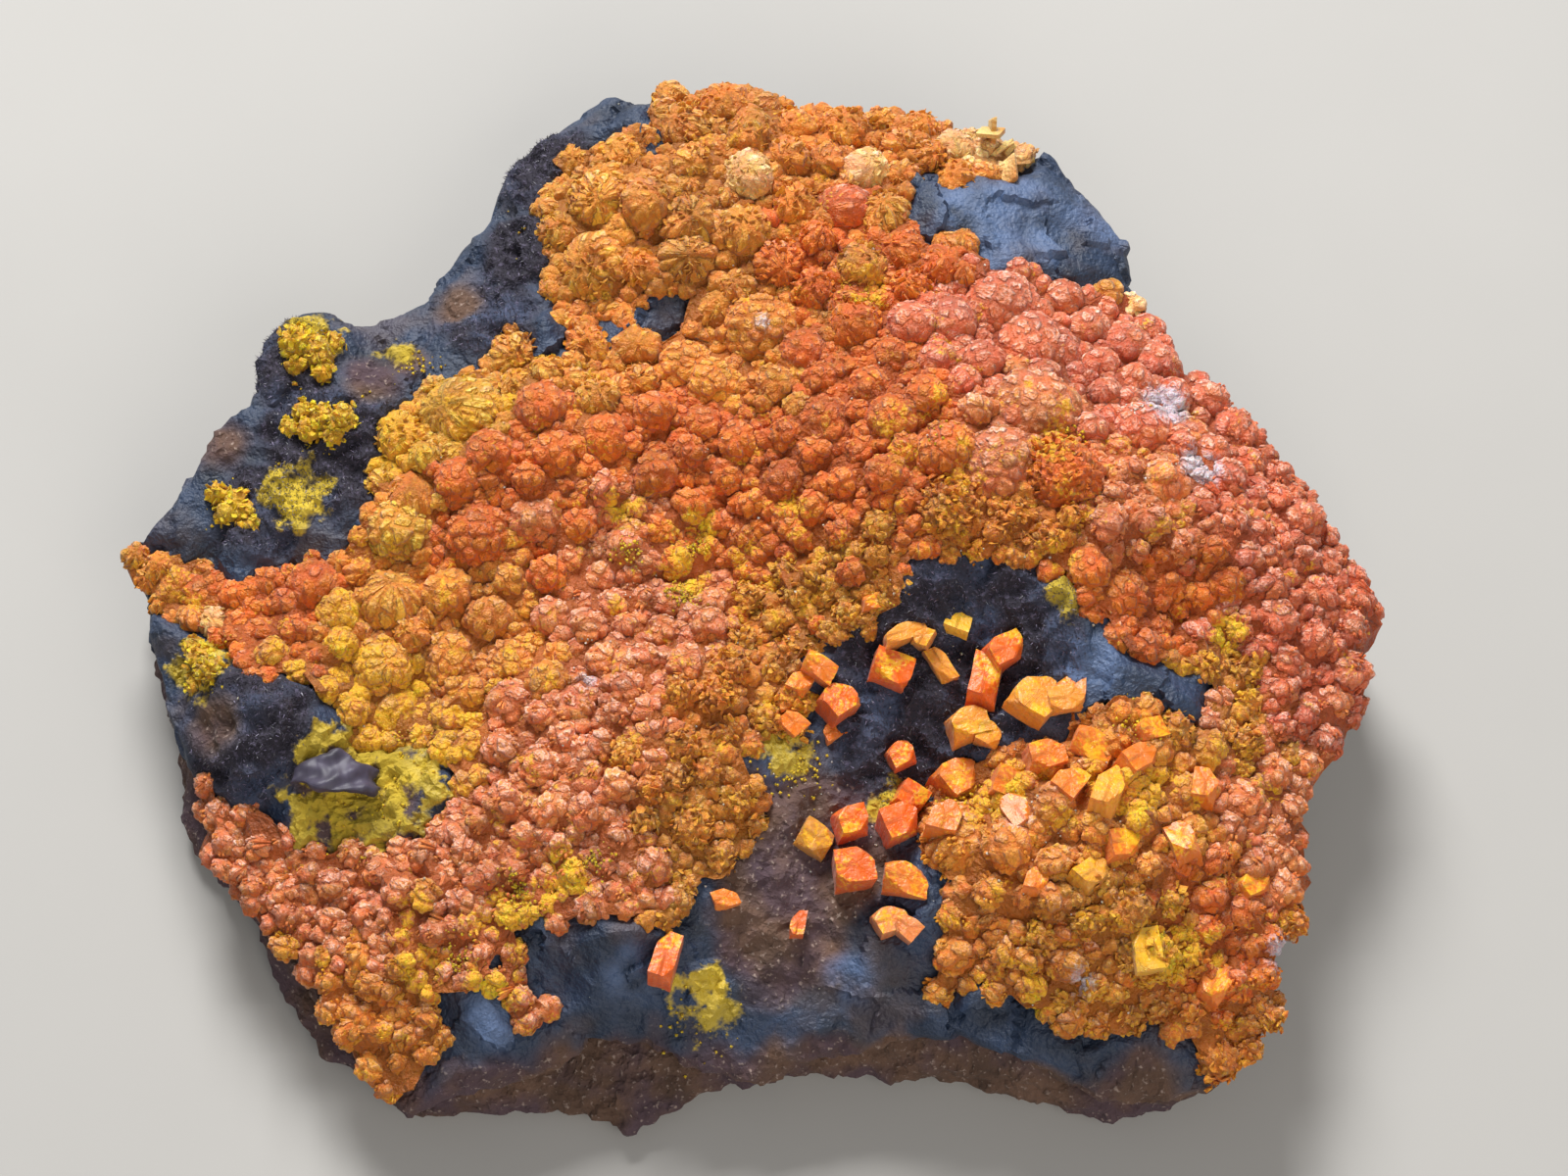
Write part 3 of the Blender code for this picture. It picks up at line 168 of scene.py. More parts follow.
# What grows where: name: (x, y, habit, tint, share of yellow powder)
DISTRICTS = {
    "north crest": (-2.5, 23.0, "blades", "ochre", 0.1),
    "north lobe west": (-7.5, 18.5, "blades", "gold", 0.1),
    "north lobe": (-3.0, 17.5, "blades", "ochre", 0.0),
    "north lobe low": (-5.0, 12.5, "blades", "amber", 0.0),
    "north east lobe": (4.0, 20.0, "blades", "amber", 0.1),
    "north east lobe low": (5.5, 16.0, "blades", "orange", 0.1),
    "far north east": (9.0, 20.5, "blades", "amber", 0.0),
    "cream corner": (13.0, 21.5, "plates", "cream", 0.0),
    "west lobe top": (-12.5, 9.5, "blades", "gold", 0.2),
    "west lobe yellow": (-14.5, 7.0, "blades", "yellow", 0.5),
    "west lobe": (-12.0, 3.5, "knobs", "orange", 0.2),
    "west lobe low": (-13.5, -3.0, "knobs", "amber", 0.3),
    "west shelf": (-18.0, -1.5, "blades", "amber", 0.3),
    "west islands": (-23.0, -1.5, "knobs", "orange", 0.2),
    "west tip": (-28.5, 0.5, "blades", "amber", 0.2),
    "west yellow": (-17.5, -6.5, "knobs", "gold", 0.8),
    "middle north": (0.5, 10.5, "knobs", "amber", 0.1),
    "middle": (-2.0, 5.0, "knobs", "orange", 0.1),
    "middle east": (5.5, 6.5, "knobs", "orange", 0.1),
    "pink north east": (12.0, 11.0, "domes", "pink", 0.0),
    "pink east": (19.0, 9.5, "domes", "pink", 0.0),
    "spotted swell": (13.5, 6.5, "knobs", "salmon", 0.4),
    "east ridge": (19.0, 2.5, "sheaves", "salmon", 0.3),
    "east rim": (25.0, 2.5, "sheaves", "pink", 0.1),
    "east slope": (27.0, -4.5, "sheaves", "pink", 0.1),
    "rim of the hollow": (11.5, 1.0, "crumble", "amber", 0.35),
    "above the hollow": (8.0, 2.5, "knobs", "orange", 0.3),
    "yellow valley": (1.0, 1.0, "knobs", "orange", 0.5),
    "valley": (-5.5, 0.0, "knobs", "salmon", 0.3),
    "west of the hollow": (3.5, -2.5, "crumble", "gold", 0.4),
    "ragged slope": (-1.5, -9.0, "crumble", "amber", 0.3),
    "ragged foot": (-2.5, -13.5, "crumble", "gold", 0.1),
    "south lobe": (-7.5, -8.0, "sheaves", "salmon", 0.1),
    "south lobe low": (-7.0, -13.5, "sheaves", "salmon", 0.3),
    "southwest slope": (-16.0, -15.5, "sheaves", "salmon", 0.0),
    "southwest edge": (-22.0, -15.5, "sheaves", "salmon", 0.0),
    "southwest swell": (-12.0, -18.5, "sheaves", "salmon", 0.4),
    "southwest corner": (-16.0, -22.0, "sheaves", "amber", 0.3),
    "east of the hollow": (19.0, -3.5, "knobs", "orange", 0.1),
    "trench": (21.5, -7.5, "crumble", "gold", 0.5),
    "south bulge": (11.5, -13.0, "sheaves", "amber", 0.25),
    "plate field": (16.0, -11.5, "plates", "amber", 0.4),
    "plate field east": (19.5, -13.0, "plates", "amber", 0.3),
    "east flank": (24.5, -12.5, "sheaves", "salmon", 0.1),
    "southeast": (21.0, -18.5, "sheaves", "orange", 0.2),
    "yellow ledge": (17.5, -18.5, "crumble", "gold", 0.4),
    "south foot": (12.5, -18.5, "sheaves", "amber", 0.3),
    "southeast corner": (22.5, -23.0, "crumble", "amber", 0.3),
}

# Lumps whose colour stands out from their surroundings, as x, y and tint
MARKED_LUMPS = [
    (-0.1, 19.8, "cream"), (5.8, 20.5, "cream"), (0.7, 11.9, "amber"), (4.6, 18.2, "red"),
    (-16.9, 1.6, "yellow"), (-7.6, 15.2, "gold"), (-17.3, -1.8, "gold"), (13.7, 6.6, "salmon"),
    (14.8, 2.9, "orange"), (17.6, 14.2, "ochre"), (10.2, 22.0, "cream"), (11.8, 22.0, "cream"),
    (-25.9, -2.3, "cream"), (6.7, 17.8, "ochre"), (5.5, 14.8, "ochre"), (-20.9, 0.4, "yellow"),
]

# Where yellow powder lies on the druse, and where white fuzz grows on it, as x, y, reach
DRUSE_DUST = [
    (-19.1, -12.5, 2.0), (-15.6, -11.5, 1.2), (-10.7, -17.5, 1.4), (-8.7, -16.2, 1.1),
    (-15.3, -20.0, 1.1), (-5.9, 2.4, 0.8), (-3.1, -0.5, 1.1), (-2.5, 2.0, 0.8), (5.7, 13.2, 1.1),
    (9.5, 9.5, 0.8), (18.4, -12.8, 1.4), (11.6, -12.0, 1.4), (21.6, 7.4, 0.6), (24.4, -11.4, 1.0),
    (19.9, -19.5, 1.4), (13.5, -21.4, 0.9), (21.8, -19.1, 0.8), (14.7, -1.4, 0.9), (9.2, 7.2, 0.6),
    (17.0, 5.3, 0.5), (14.8, 4.3, 1.0), (-12.1, -21.0, 1.1), (-15.9, -17.4, 0.9), (23.2, -4.0, 0.8),
]
DRUSE_FROST = [
    (20.2, 7.4, 1.1), (21.7, 3.9, 1.0), (12.6, -13.8, 0.5), (-7.7, -6.5, 0.4), 
    (15.6, -21.1, 0.5), (-25.0, -7.5, 0.5), (25.2, -19.4, 0.8), (0.6, 11.6, 0.3),
]

# How strongly the fibre tips of each tint are painted paler, as painted highlight on the side towards the light
TIP_HIGHLIGHT = {"pink": 1.1, "salmon": 0.85, "cream": 0.8, "red": 0.5}

# Lumps that are open rosettes, with a hole in the middle that is also painted dark as shade
OPEN_ROSETTES = [(-7.6, 15.2)]

# Single crystals in the hollow: x, y, then length, width and height, then turn and lean in degrees
HOLLOW_CRYSTALS = {
    "slab_crystal": [(3.3, -5.9, 1.7, 1.1, 1.0, -35, 12)],
    "rhomb_crystal": [(4.2, -7.5, 1.6, 1.5, 1.4, 38, 14)],
    "west_barrel": [(6.7, -6.0, 1.9, 1.5, 1.4, -18, 12)],
    "dome_wreath": [
        (7.3, -4.5, 2.1, 0.8, 1.1, 25, 16), (8.3, -4.6, 1.0, 0.9, 1.2, 60, -10),
        (9.1, -5.7, 1.9, 0.9, 0.9, -58, 8),
    ],
    "yellow_plate": [(10.0, -3.6, 1.7, 1.3, 0.5, 75, 24)],
    "barrel_pair": [(11.2, -6.6, 2.4, 1.5, 1.5, 78, 8), (12.1, -5.3, 1.9, 1.4, 1.4, 30, 14)],
    "square_plate": [(13.6, -7.9, 2.3, 2.2, 1.1, 48, 16), (14.9, -8.1, 1.7, 1.2, 1.1, 10, 6)],
    "golden_group": [(10.4, -8.7, 1.9, 1.5, 1.5, 15, 6), (11.3, -9.2, 1.2, 1.1, 1.1, -25, 8)],
    "round_crystal": [(7.2, -9.8, 1.3, 1.2, 1.3, 30, 4)],
    "pit_crystal": [(4.8, -13.2, 1.5, 1.4, 1.4, 15, 10)],
    "fan_crystal": [(3.1, -13.9, 1.7, 1.5, 0.9, -30, 14)],
    "block_crystal": [(4.9, -15.6, 1.9, 1.7, 1.7, 8, 6)],
    "pointed_group": [(7.6, -11.9, 1.5, 1.3, 1.7, -30, 14), (7.0, -13.4, 1.7, 1.5, 1.7, 25, 12)],
    "low_block": [(7.3, -16.2, 2.1, 1.5, 1.3, -15, 8)],
    "low_group": [(6.6, -18.1, 1.5, 1.2, 1.1, 20, 8), (7.4, -18.5, 1.2, 1.0, 1.0, -40, 6)],
    "slope_crystal": [(2.3, -18.0, 1.2, 0.7, 0.8, 80, 6)],
    "window_crystal": [(-3.9, -19.9, 2.4, 1.2, 1.3, 75, 8)],
}

# Thick plates and blocks that stick out of the druse, the same way, with their tint
EMBEDDED_CRYSTALS = [
    (16.7, -13.0, 2.6, 1.3, 1.9, 70, 26, "amber"), (13.9, -10.7, 1.9, 1.5, 1.5, 20, 12, "orange"),
    (16.0, -10.2, 1.9, 1.4, 1.4, -30, 18, "orange"), (18.1, -11.2, 2.1, 1.2, 1.6, 40, 28, "orange"),
    (9.9, -11.0, 2.1, 1.9, 1.9, 35, 8, "orange"), (12.2, -11.9, 1.7, 1.4, 1.3, -20, 14, "orange"),
    (18.5, -19.9, 1.4, 2.2, 0.6, 10, 10, "yellow"), (14.9, -12.4, 1.6, 1.3, 1.3, 55, 20, "orange"),
    (17.3, -15.2, 1.6, 1.4, 1.2, 15, 22, "orange"), (12.6, -13.6, 1.7, 1.2, 1.3, 120, 18, "orange"),
    (21.4, -12.2, 1.6, 1.2, 1.2, 80, 18, "orange"), (21.8, -21.0, 1.8, 1.3, 1.4, 60, 16, "orange"),
    (9.2, -13.6, 1.8, 1.6, 1.4, 70, 10, "orange"), (-1.2, -17.0, 1.2, 0.9, 1.0, 20, 12, "orange"),
    (15.2, -7.6, 1.7, 1.4, 1.3, 85, 16, "orange"), (2.4, -6.6, 1.3, 1.0, 1.0, 60, 20, "orange"),
    (2.0, -8.4, 1.3, 1.1, 1.0, -40, 16, "orange"), (4.0, -8.6, 1.2, 0.9, 0.9, 30, 10, "orange"),
    (5.9, -3.0, 1.2, 0.8, 0.9, 10, 20, "orange"), (18.8, -9.6, 1.4, 1.1, 1.0, 20, 22, "orange"),
    (20.3, -15.0, 1.9, 1.3, 1.3, 110, 24, "orange"), (15.9, -16.6, 1.8, 1.3, 1.0, 40, 20, "gold"),
    (13.4, -16.9, 1.5, 1.2, 1.0, 75, 18, "orange"), (23.6, -16.4, 1.7, 1.1, 1.1, 30, 24, "orange"),
]

# Yellow groups on the bare flank: balls as x, y, radius
YELLOW_CLUSTERS = {
    "knob_cluster": [
        (-22.3, 11.6, 0.9), (-21.3, 11.0, 0.9), (-22.4, 10.5, 0.6), (-20.6, 11.6, 0.6),
        (-21.0, 10.0, 0.6),
    ],
    "floor_cluster": [
        (-21.8, 7.9, 0.6), (-20.9, 7.4, 0.8), (-19.9, 7.2, 0.8), (-21.4, 6.9, 0.7), (-20.3, 6.5, 0.6),
        (-22.5, 7.1, 0.5),
    ],
    "slope_cluster": [
        (-26.0, 3.9, 0.6), (-25.2, 3.6, 0.7), (-25.5, 2.9, 0.7), (-24.7, 3.0, 0.6), (-24.3, 2.3, 0.5),
    ],
    "shelf_cluster": [
        (-26.4, -4.7, 0.7), (-25.9, -5.4, 0.8), (-26.6, -5.7, 0.6), (-26.9, -4.0, 0.5),
    ],
}

# Loose yellow grains: x, y, how far they spread, how many
YELLOW_SPRINKLES = [
    (-21.5, 9.2, 1.6, 60), (-20.8, 7.0, 1.9, 110), (-25.0, 3.3, 1.5, 90), (-22.3, 5.2, 1.2, 40),
    (-16.5, 10.4, 1.4, 40), (-11.3, 18.6, 0.9, 40), (-11.9, 16.0, 0.8, 30), (-10.9, 20.3, 0.6, 20),
    (-26.3, -5.0, 1.4, 90), (-18.6, -11.8, 2.2, 220), (-16.6, -9.4, 1.2, 80), (-10.8, -16.6, 1.0, 80),
    (-13.6, -19.6, 1.2, 70), (-5.9, 0.3, 0.8, 60), (-3.1, -2.0, 0.9, 110), (-2.6, 0.6, 0.6, 40),
    (5.4, 12.8, 0.9, 50), (2.2, -10.6, 1.4, 110), (-2.4, -22.0, 1.6, 50), (10.0, -11.8, 1.0, 80),
    (18.4, -9.4, 1.2, 60), (15.5, 5.0, 0.8, 30), (-7.2, -15.6, 0.8, 50), (7.4, -3.6, 0.8, 40),
    (-26.0, -6.6, 0.7, 30), (9.2, 4.4, 0.8, 30), (19.8, 6.4, 0.3, 14),
]

# Pale crumbs and white fuzz, the same way
WHITE_SPRINKLES = [
    (18.5, 6.4, 0.5, 60), (19.9, 3.4, 0.45, 40), (9.4, -12.9, 0.3, 14), (0.6, 11.6, 0.4, 30),
    (-8.0, -4.2, 0.4, 16), (8.0, -6.0, 3.5, 60), (11.0, -3.5, 3.0, 60), (5.0, -14.0, 3.2, 50),
    (0.0, 0.0, 22.0, 120), (14.0, -15.0, 6.0, 60),
]


def linear(code):
    """A colour written as six sRGB hex digits, as linear red, green and blue."""
    channels = [int(code[i:i + 2], 16) / 255.0 for i in (0, 2, 4)]
    return [c / 12.92 if c <= 0.04045 else ((c + 0.055) / 1.055) ** 2.4 for c in channels]


def colour_setting(name, code, description):
    return bpy.props.FloatVectorProperty(
        name=name, description=description, subtype="COLOR", size=3, min=0.0, max=1.0,
        default=linear(code),
    )


def length_setting(name, millimetres, description):
    return bpy.props.FloatProperty(
        name=name, description=description, subtype="DISTANCE", unit="LENGTH", min=0.0,
        precision=5, default=millimetres * MM,
    )


class DruseSettings(bpy.types.PropertyGroup):
    blade_width: length_setting("Blade width", 0.36, "Width of a blade in a rosette")
    blade_thickness: length_setting("Blade thickness", 0.06, "Thickness of a blade in a rosette")
    blade_spacing: length_setting("Blade spacing", 0.45, "Distance between blades on a rosette")
    sheaf_width: length_setting("Sheaf width", 0.45, "Width of a striated sheaf")
    sheaf_length: length_setting("Sheaf length", 0.8, "Length of a striated sheaf")
    sheaf_spacing: length_setting("Sheaf spacing", 1.2, "Distance between sheaves on a lump")
    plate_width: length_setting("Plate width", 1.35, "Width of a tabular plate")
    plate_thickness: length_setting("Plate thickness", 0.26, "Thickness of a tabular plate")
    plate_spacing: length_setting("Plate spacing", 0.95, "Distance between plates on a lump")
    crumble_width: length_setting("Fragment width", 0.40, "Width of a ragged fragment")
    crumble_spacing: length_setting("Fragment spacing", 0.42, "Distance between ragged fragments")
    orange: colour_setting("Orange", "DC7616", "Francevillite of the middle")
    amber: colour_setting("Amber", "E0922A", "Francevillite towards the north and west")
    salmon: colour_setting("Salmon", "DE8444", "Sheaves of the south and east")
    pink: colour_setting("Pink", "D66E40", "Knobs of the north-east")
    red: colour_setting("Red-orange", "DA6618", "Fresh crystals round the hollow")
    ochre: colour_setting("Ochre", "D49230", "Weathered rosettes of the north lobe")
    gold: colour_setting("Gold", "DC9C30", "Yellowish rosettes")
    yellow: colour_setting("Yellow", "E4B234", "Powdery yellow lumps")
    cream: colour_setting("Cream", "F0C884", "Pale plates")
    powder: colour_setting("Powder", "E4C41E", "Yellow-green powder")
    mustard: colour_setting("Settled dust", "E8AC1E", "Dust settled on the lumps")
    crystal: colour_setting("Single crystal", "DE6206", "Crystals that stand alone in the hollow")
    # The colour of the painted highlight on the fibre tips towards the light
    tips: colour_setting("Fibre tips", "FFCCB8", "Pale ends of the fibres")
    frost: colour_setting("White fuzz", "C8CCDA", "White fuzz on the druse and in its creases")
    seed: bpy.props.IntProperty(name="Seed", description="Changes every random draw", default=11)


class RockSettings(bpy.types.PropertyGroup):
    fracture_step: length_setting("Fracture step", 0.46, "Relief of broken goethite")
    velvet_swell: length_setting("Velvet swell", 0.46, "Relief of the velvety hummocks")
    earth_relief: length_setting("Earth relief", 0.34, "Relief of the earthy rock")
    dust_relief: length_setting("Dust relief", 0.30, "How high the yellow powder heaps up")
    needle_length: length_setting("Needle length", 0.20, "Length of the needles on the velvet")
    needle_spacing: length_setting("Needle spacing", 0.17, "Distance between needles on the velvet")
    blue: colour_setting("Blue-black", "1C2A40", "Broken goethite")
    black: colour_setting("Velvet black", "2E2A36", "Goethite with a velvety skin")
    brown: colour_setting("Brown", "5E4638", "Earthy iron oxide")
    dust: colour_setting("Yellow dust", "C0A428", "Powder lying on the rock")
    purple: colour_setting("Purple-grey", "483844", "Patches in the earthy rock")
    speck: colour_setting("Pale specks", "B09C90", "Grains in the earthy rock")
    # Also the colour of the painted reflection of the sky laid over the rock
    bloom: colour_setting("Bluish bloom", "5C7298", "Bloom on the velvety rock")
    seed: bpy.props.IntProperty(name="Seed", description="Changes every random draw", default=3)


class StageSettings(bpy.types.PropertyGroup):
    floor_colour: colour_setting("Floor", "ACAAA6", "Plain pale floor")
    key_power: bpy.props.FloatProperty(
        name="Key light", description="Power of the large soft light", unit="POWER", default=2.65
    )


def add_node(tree, kind, inputs=None, **settings):
    """Add a node, set it up, and give or link its inputs."""
    made = tree.nodes.new(kind)
    for name, value in settings.items():
        setattr(made, name, value)
    for key, value in (inputs or {}).items():
        if isinstance(value, bpy.types.NodeSocket):
            tree.links.new(value, made.inputs[key])
        else:
            made.inputs[key].default_value = value
    return made


def new_material(name, **uniform):
    """A material with one Principled shader; uniform settings go straight on its sockets."""
    made = bpy.data.materials.new(name)
    made.use_nodes = True
    shader = made.node_tree.nodes["Principled BSDF"]
    for key, value in uniform.items():
        shader.inputs[key.replace("_", " ")].default_value = value
    return made, made.node_tree, shader


def place(x, y, z=0.0):
    """A point given in drawn millimetres, in the frame, in metres."""
    return Vector(((x + DRAWN_SHIFT[0]) * MM, (y + DRAWN_SHIFT[1]) * MM, z * MM))


def plan(points):
    """Plan positions of frame points, back in drawn millimetres."""
    return np.asarray(points, dtype=float)[:, :2] / MM - np.array(DRAWN_SHIFT)


def tree_of(*names):
    """Something to drop plumb lines on: the named solids as one ray-cast tree."""
    verts = []
    faces = []
    for name in names:
        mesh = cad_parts[name].data
        start = len(verts)
        verts += [v.co.copy() for v in mesh.vertices]
        faces += [[start + i for i in p.vertices] for p in mesh.polygons]
    return BVHTree.FromPolygons(verts, faces)


CRUST_TREE = tree_of("francevillite_crust")
ROCK_TREE = tree_of("matrix")
GROUND_TREE = tree_of("matrix", "francevillite_crust")


def drop(tree, x, y):
    """Where a plumb line at a drawn plan position meets the solids, with the normal there."""
    start = place(x, y, 60.0)
    hit, normal, _, _ = tree.ray_cast(start, Vector((0.0, 0.0, -1.0)))
    return hit, normal


def signed_distance(at, outline):
    """Distance from plan points to a closed outline, positive inside it."""
    start = np.array(outline)
    end = np.roll(start, -1, axis=0)
    edge = end - start
    offset = at[:, None, :] - start[None, :, :]
    share = np.clip((offset * edge).sum(axis=2) / (edge ** 2).sum(axis=1), 0.0, 1.0)
    gap = np.linalg.norm(offset - share[:, :, None] * edge, axis=2).min(axis=1)
    x = at[:, 0, None]
    y = at[:, 1, None]
    spans = (start[None, :, 1] > y) != (end[None, :, 1] > y)
    rise = np.where(edge[:, 1] == 0.0, 1e-12, edge[:, 1])
    crossing = start[None, :, 0] + (y - start[None, :, 1]) * edge[None, :, 0] / rise[None, :]
    inside = (spans & (x < crossing)).sum(axis=1) % 2 == 1
    return np.where(inside, gap, -gap)


def patch_clearance(at):
    """Distance from plan points to the nearest bare patch, negative inside one."""
    at = np.asarray(at, dtype=float)
    return np.min([-signed_distance(at, patch) for patch in BARE_PATCHES.values()], axis=0)


def crust_depth(at):
    """How far plan points lie inside the druse; negative on bare rock and past the rim."""
    at = np.asarray(at, dtype=float)
    return np.minimum(signed_distance(at, RIM), patch_clearance(at))


def lump_radius(x, y):
    """How large a lump grows here, blended from the sizes given for its surroundings."""
    total = 0.0
    weight = 0.0
    for px, py, radius in LUMP_SIZES:
        near = 1.0 / ((x - px) ** 2 + (y - py) ** 2 + 4.0) ** 1.5
        total += near * radius
        weight += near
    return total / weight


def grow_lumps():
    """The druse's lumps, grown as in the solids so that the crystals sit on the same ones."""
    lumps = list(NOTABLE_LUMPS)
    draw = random.Random(21)
    trials = [(draw.uniform(-31.0, 31.0), draw.uniform(-26.0, 26.0)) for _ in range(24000)]
    depths = crust_depth(trials)
    for (x, y), depth in zip(trials, depths):
        radius = lump_radius(x, y) * draw.uniform(0.8, 1.25)
        if depth < 0.55 * radius:
            continue
        clear = all(
            math.hypot(x - a, y - b) > 0.78 * (radius + r)
            for a, b, r in lumps
            if abs(x - a) < 4.5 and abs(y - b) < 4.5
        )
        if clear:
            lumps.append((x, y, radius))
    return lumps


def district_at(x, y, draw, stray=1.3):
    """The district a plan position belongs to, with a ragged border."""
    wx = x + draw.gauss(0.0, stray)
    wy = y + draw.gauss(0.0, stray)
    return min(DISTRICTS.values(), key=lambda d: math.hypot(wx - d[0], wy - d[1]))


def blended_tint(at, settings):
    """The mean colour of the districts around plan points, for what shows between crystals."""
    at = np.asarray(at, dtype=float)
    middles = np.array([d[:2] for d in DISTRICTS.values()])
    colours = np.array([list(getattr(settings, d[3])) for d in DISTRICTS.values()])
    square = ((at[:, None, :] - middles[None, :, :]) ** 2).sum(axis=2)
    weight = 1.0 / (square + 2.0) ** 2
    return (weight[:, :, None] * colours).sum(axis=1) / weight.sum(axis=1)[:, None]


# Crystal shapes. Each stands on z = 0, is one unit tall and wide, and keeps its own coordinates
# as an attribute, which its material reads for the striations.


def shape_object(name, mesh, smooth):
    data = bpy.data.meshes.new(name)
    mesh.to_mesh(data)
    mesh.free()
    grain = data.attributes.new("grain", "FLOAT_VECTOR", "POINT")
    grain.data.foreach_set("vector", [c for v in data.vertices for c in v.co])
    # Its height up the shape, from which the crystal material paints shade, darker towards the foot
    height = data.attributes.new("height", "FLOAT", "POINT")
    height.data.foreach_set("value", [v.co.z for v in data.vertices])
    for face in data.polygons:
        face.use_smooth = smooth
    made = bpy.data.objects.new(name, data)
    bpy.context.scene.collection.objects.link(made)
    return made


def rings(mesh, profile, sides, squash=1.0, turn=0.0):
    """Stacked rings joined by walls, closed on top; profile holds radius and height pairs."""
    loops = []
    for radius, height in profile:
        loop = []
        for i in range(sides):
            angle = turn + 2.0 * math.pi * i / sides
            loop.append(mesh.verts.new((radius * math.cos(angle), squash * radius * math.sin(angle), height)))
        loops.append(loop)
    for low, high in zip(loops, loops[1:]):
        for i in range(sides):
            j = (i + 1) % sides
            mesh.faces.new([low[i], low[j], high[j], high[i]])
    mesh.faces.new(loops[-1])
    return loops


def blade_shape():
    """A thin fan: narrow at its foot, broad and faintly notched at its free edge."""
    mesh = bmesh.new()
    outline = [(-0.16, 0.0), (-0.46, 0.62), (-0.36, 0.93), (0.02, 1.0), (0.38, 0.9), (0.48, 0.58), (0.16, 0.0)]
    front = [mesh.verts.new((x, -0.5 * (1.0 - 0.5 * z), z)) for x, z in outline]
    back = [mesh.verts.new((x, 0.5 * (1.0 - 0.5 * z), z)) for x, z in outline]
    mesh.faces.new(front)
    mesh.faces.new(list(reversed(back)))
    for i in range(len(outline) - 1):
        mesh.faces.new([front[i + 1], front[i], back[i], back[i + 1]])
    bmesh.ops.recalc_face_normals(mesh, faces=mesh.faces)
    return shape_object("blade_shape", mesh, False)


def sheaf_shape():
    """A fan of four-sided rods that share a foot."""
    mesh = bmesh.new()
    draw = random.Random(4)
    for i in range(4):
        part = bmesh.new()
        rings(part, [(0.12, 0.0), (0.20, 0.7), (0.14, 0.92 + 0.08 * draw.random())], 4, turn=0.6)
        angle = 2.0 * math.pi * i / 4.0
        lean = 0.26 + 0.12 * draw.random()
        way = Matrix.Rotation(lean, 4, Vector((-math.sin(angle), math.cos(angle), 0.0)))
        shift = Matrix.Translation((0.14 * math.cos(angle), 0.14 * math.sin(angle), 0.0))
        part.transform(shift @ way)
        data = bpy.data.meshes.new("rod")
        part.to_mesh(data)
        part.free()
        mesh.from_mesh(data)
        bpy.data.meshes.remove(data)
    return shape_object("sheaf_shape", mesh, False)


def plate_shape():
    """A thick square plate standing on one corner, with bevelled edges."""
    mesh = bmesh.new()
    bmesh.ops.create_cube(mesh, size=1.0)
    for vert in mesh.verts:
        vert.co.x *= 0.86 if vert.co.y > 0.0 else 1.0
    bmesh.ops.bevel(mesh, geom=mesh.edges, offset=0.05, segments=1, profile=0.5, affect="EDGES")
    bmesh.ops.rotate(mesh, verts=mesh.verts, matrix=Matrix.Rotation(math.radians(38.0), 3, "Y"))
    bmesh.ops.translate(mesh, verts=mesh.verts, vec=(0.0, 0.0, 0.5))
    return shape_object("plate_shape", mesh, False)


def fragment_shape():
    """A broken chip of a few flat faces."""
    mesh = bmesh.new()
    corners = [
        (-0.5, -0.3, 0.1), (0.3, -0.5, 0.0), (0.5, 0.3, 0.2), (-0.2, 0.5, 0.0),
        (-0.3, -0.2, 0.9), (0.35, -0.3, 0.7), (0.2, 0.25, 1.0),
    ]
    for corner in corners:
        mesh.verts.new(corner)
    bmesh.ops.convex_hull(mesh, input=mesh.verts)
    return shape_object("fragment_shape", mesh, False)


def grain_shape():
    mesh = bmesh.new()
    bmesh.ops.create_cone(mesh, cap_ends=False, segments=3, radius1=0.5, radius2=0.05, depth=1.0)
    bmesh.ops.translate(mesh, verts=mesh.verts, vec=(0.0, 0.0, 0.5))
    return shape_object("grain_shape", mesh, False)


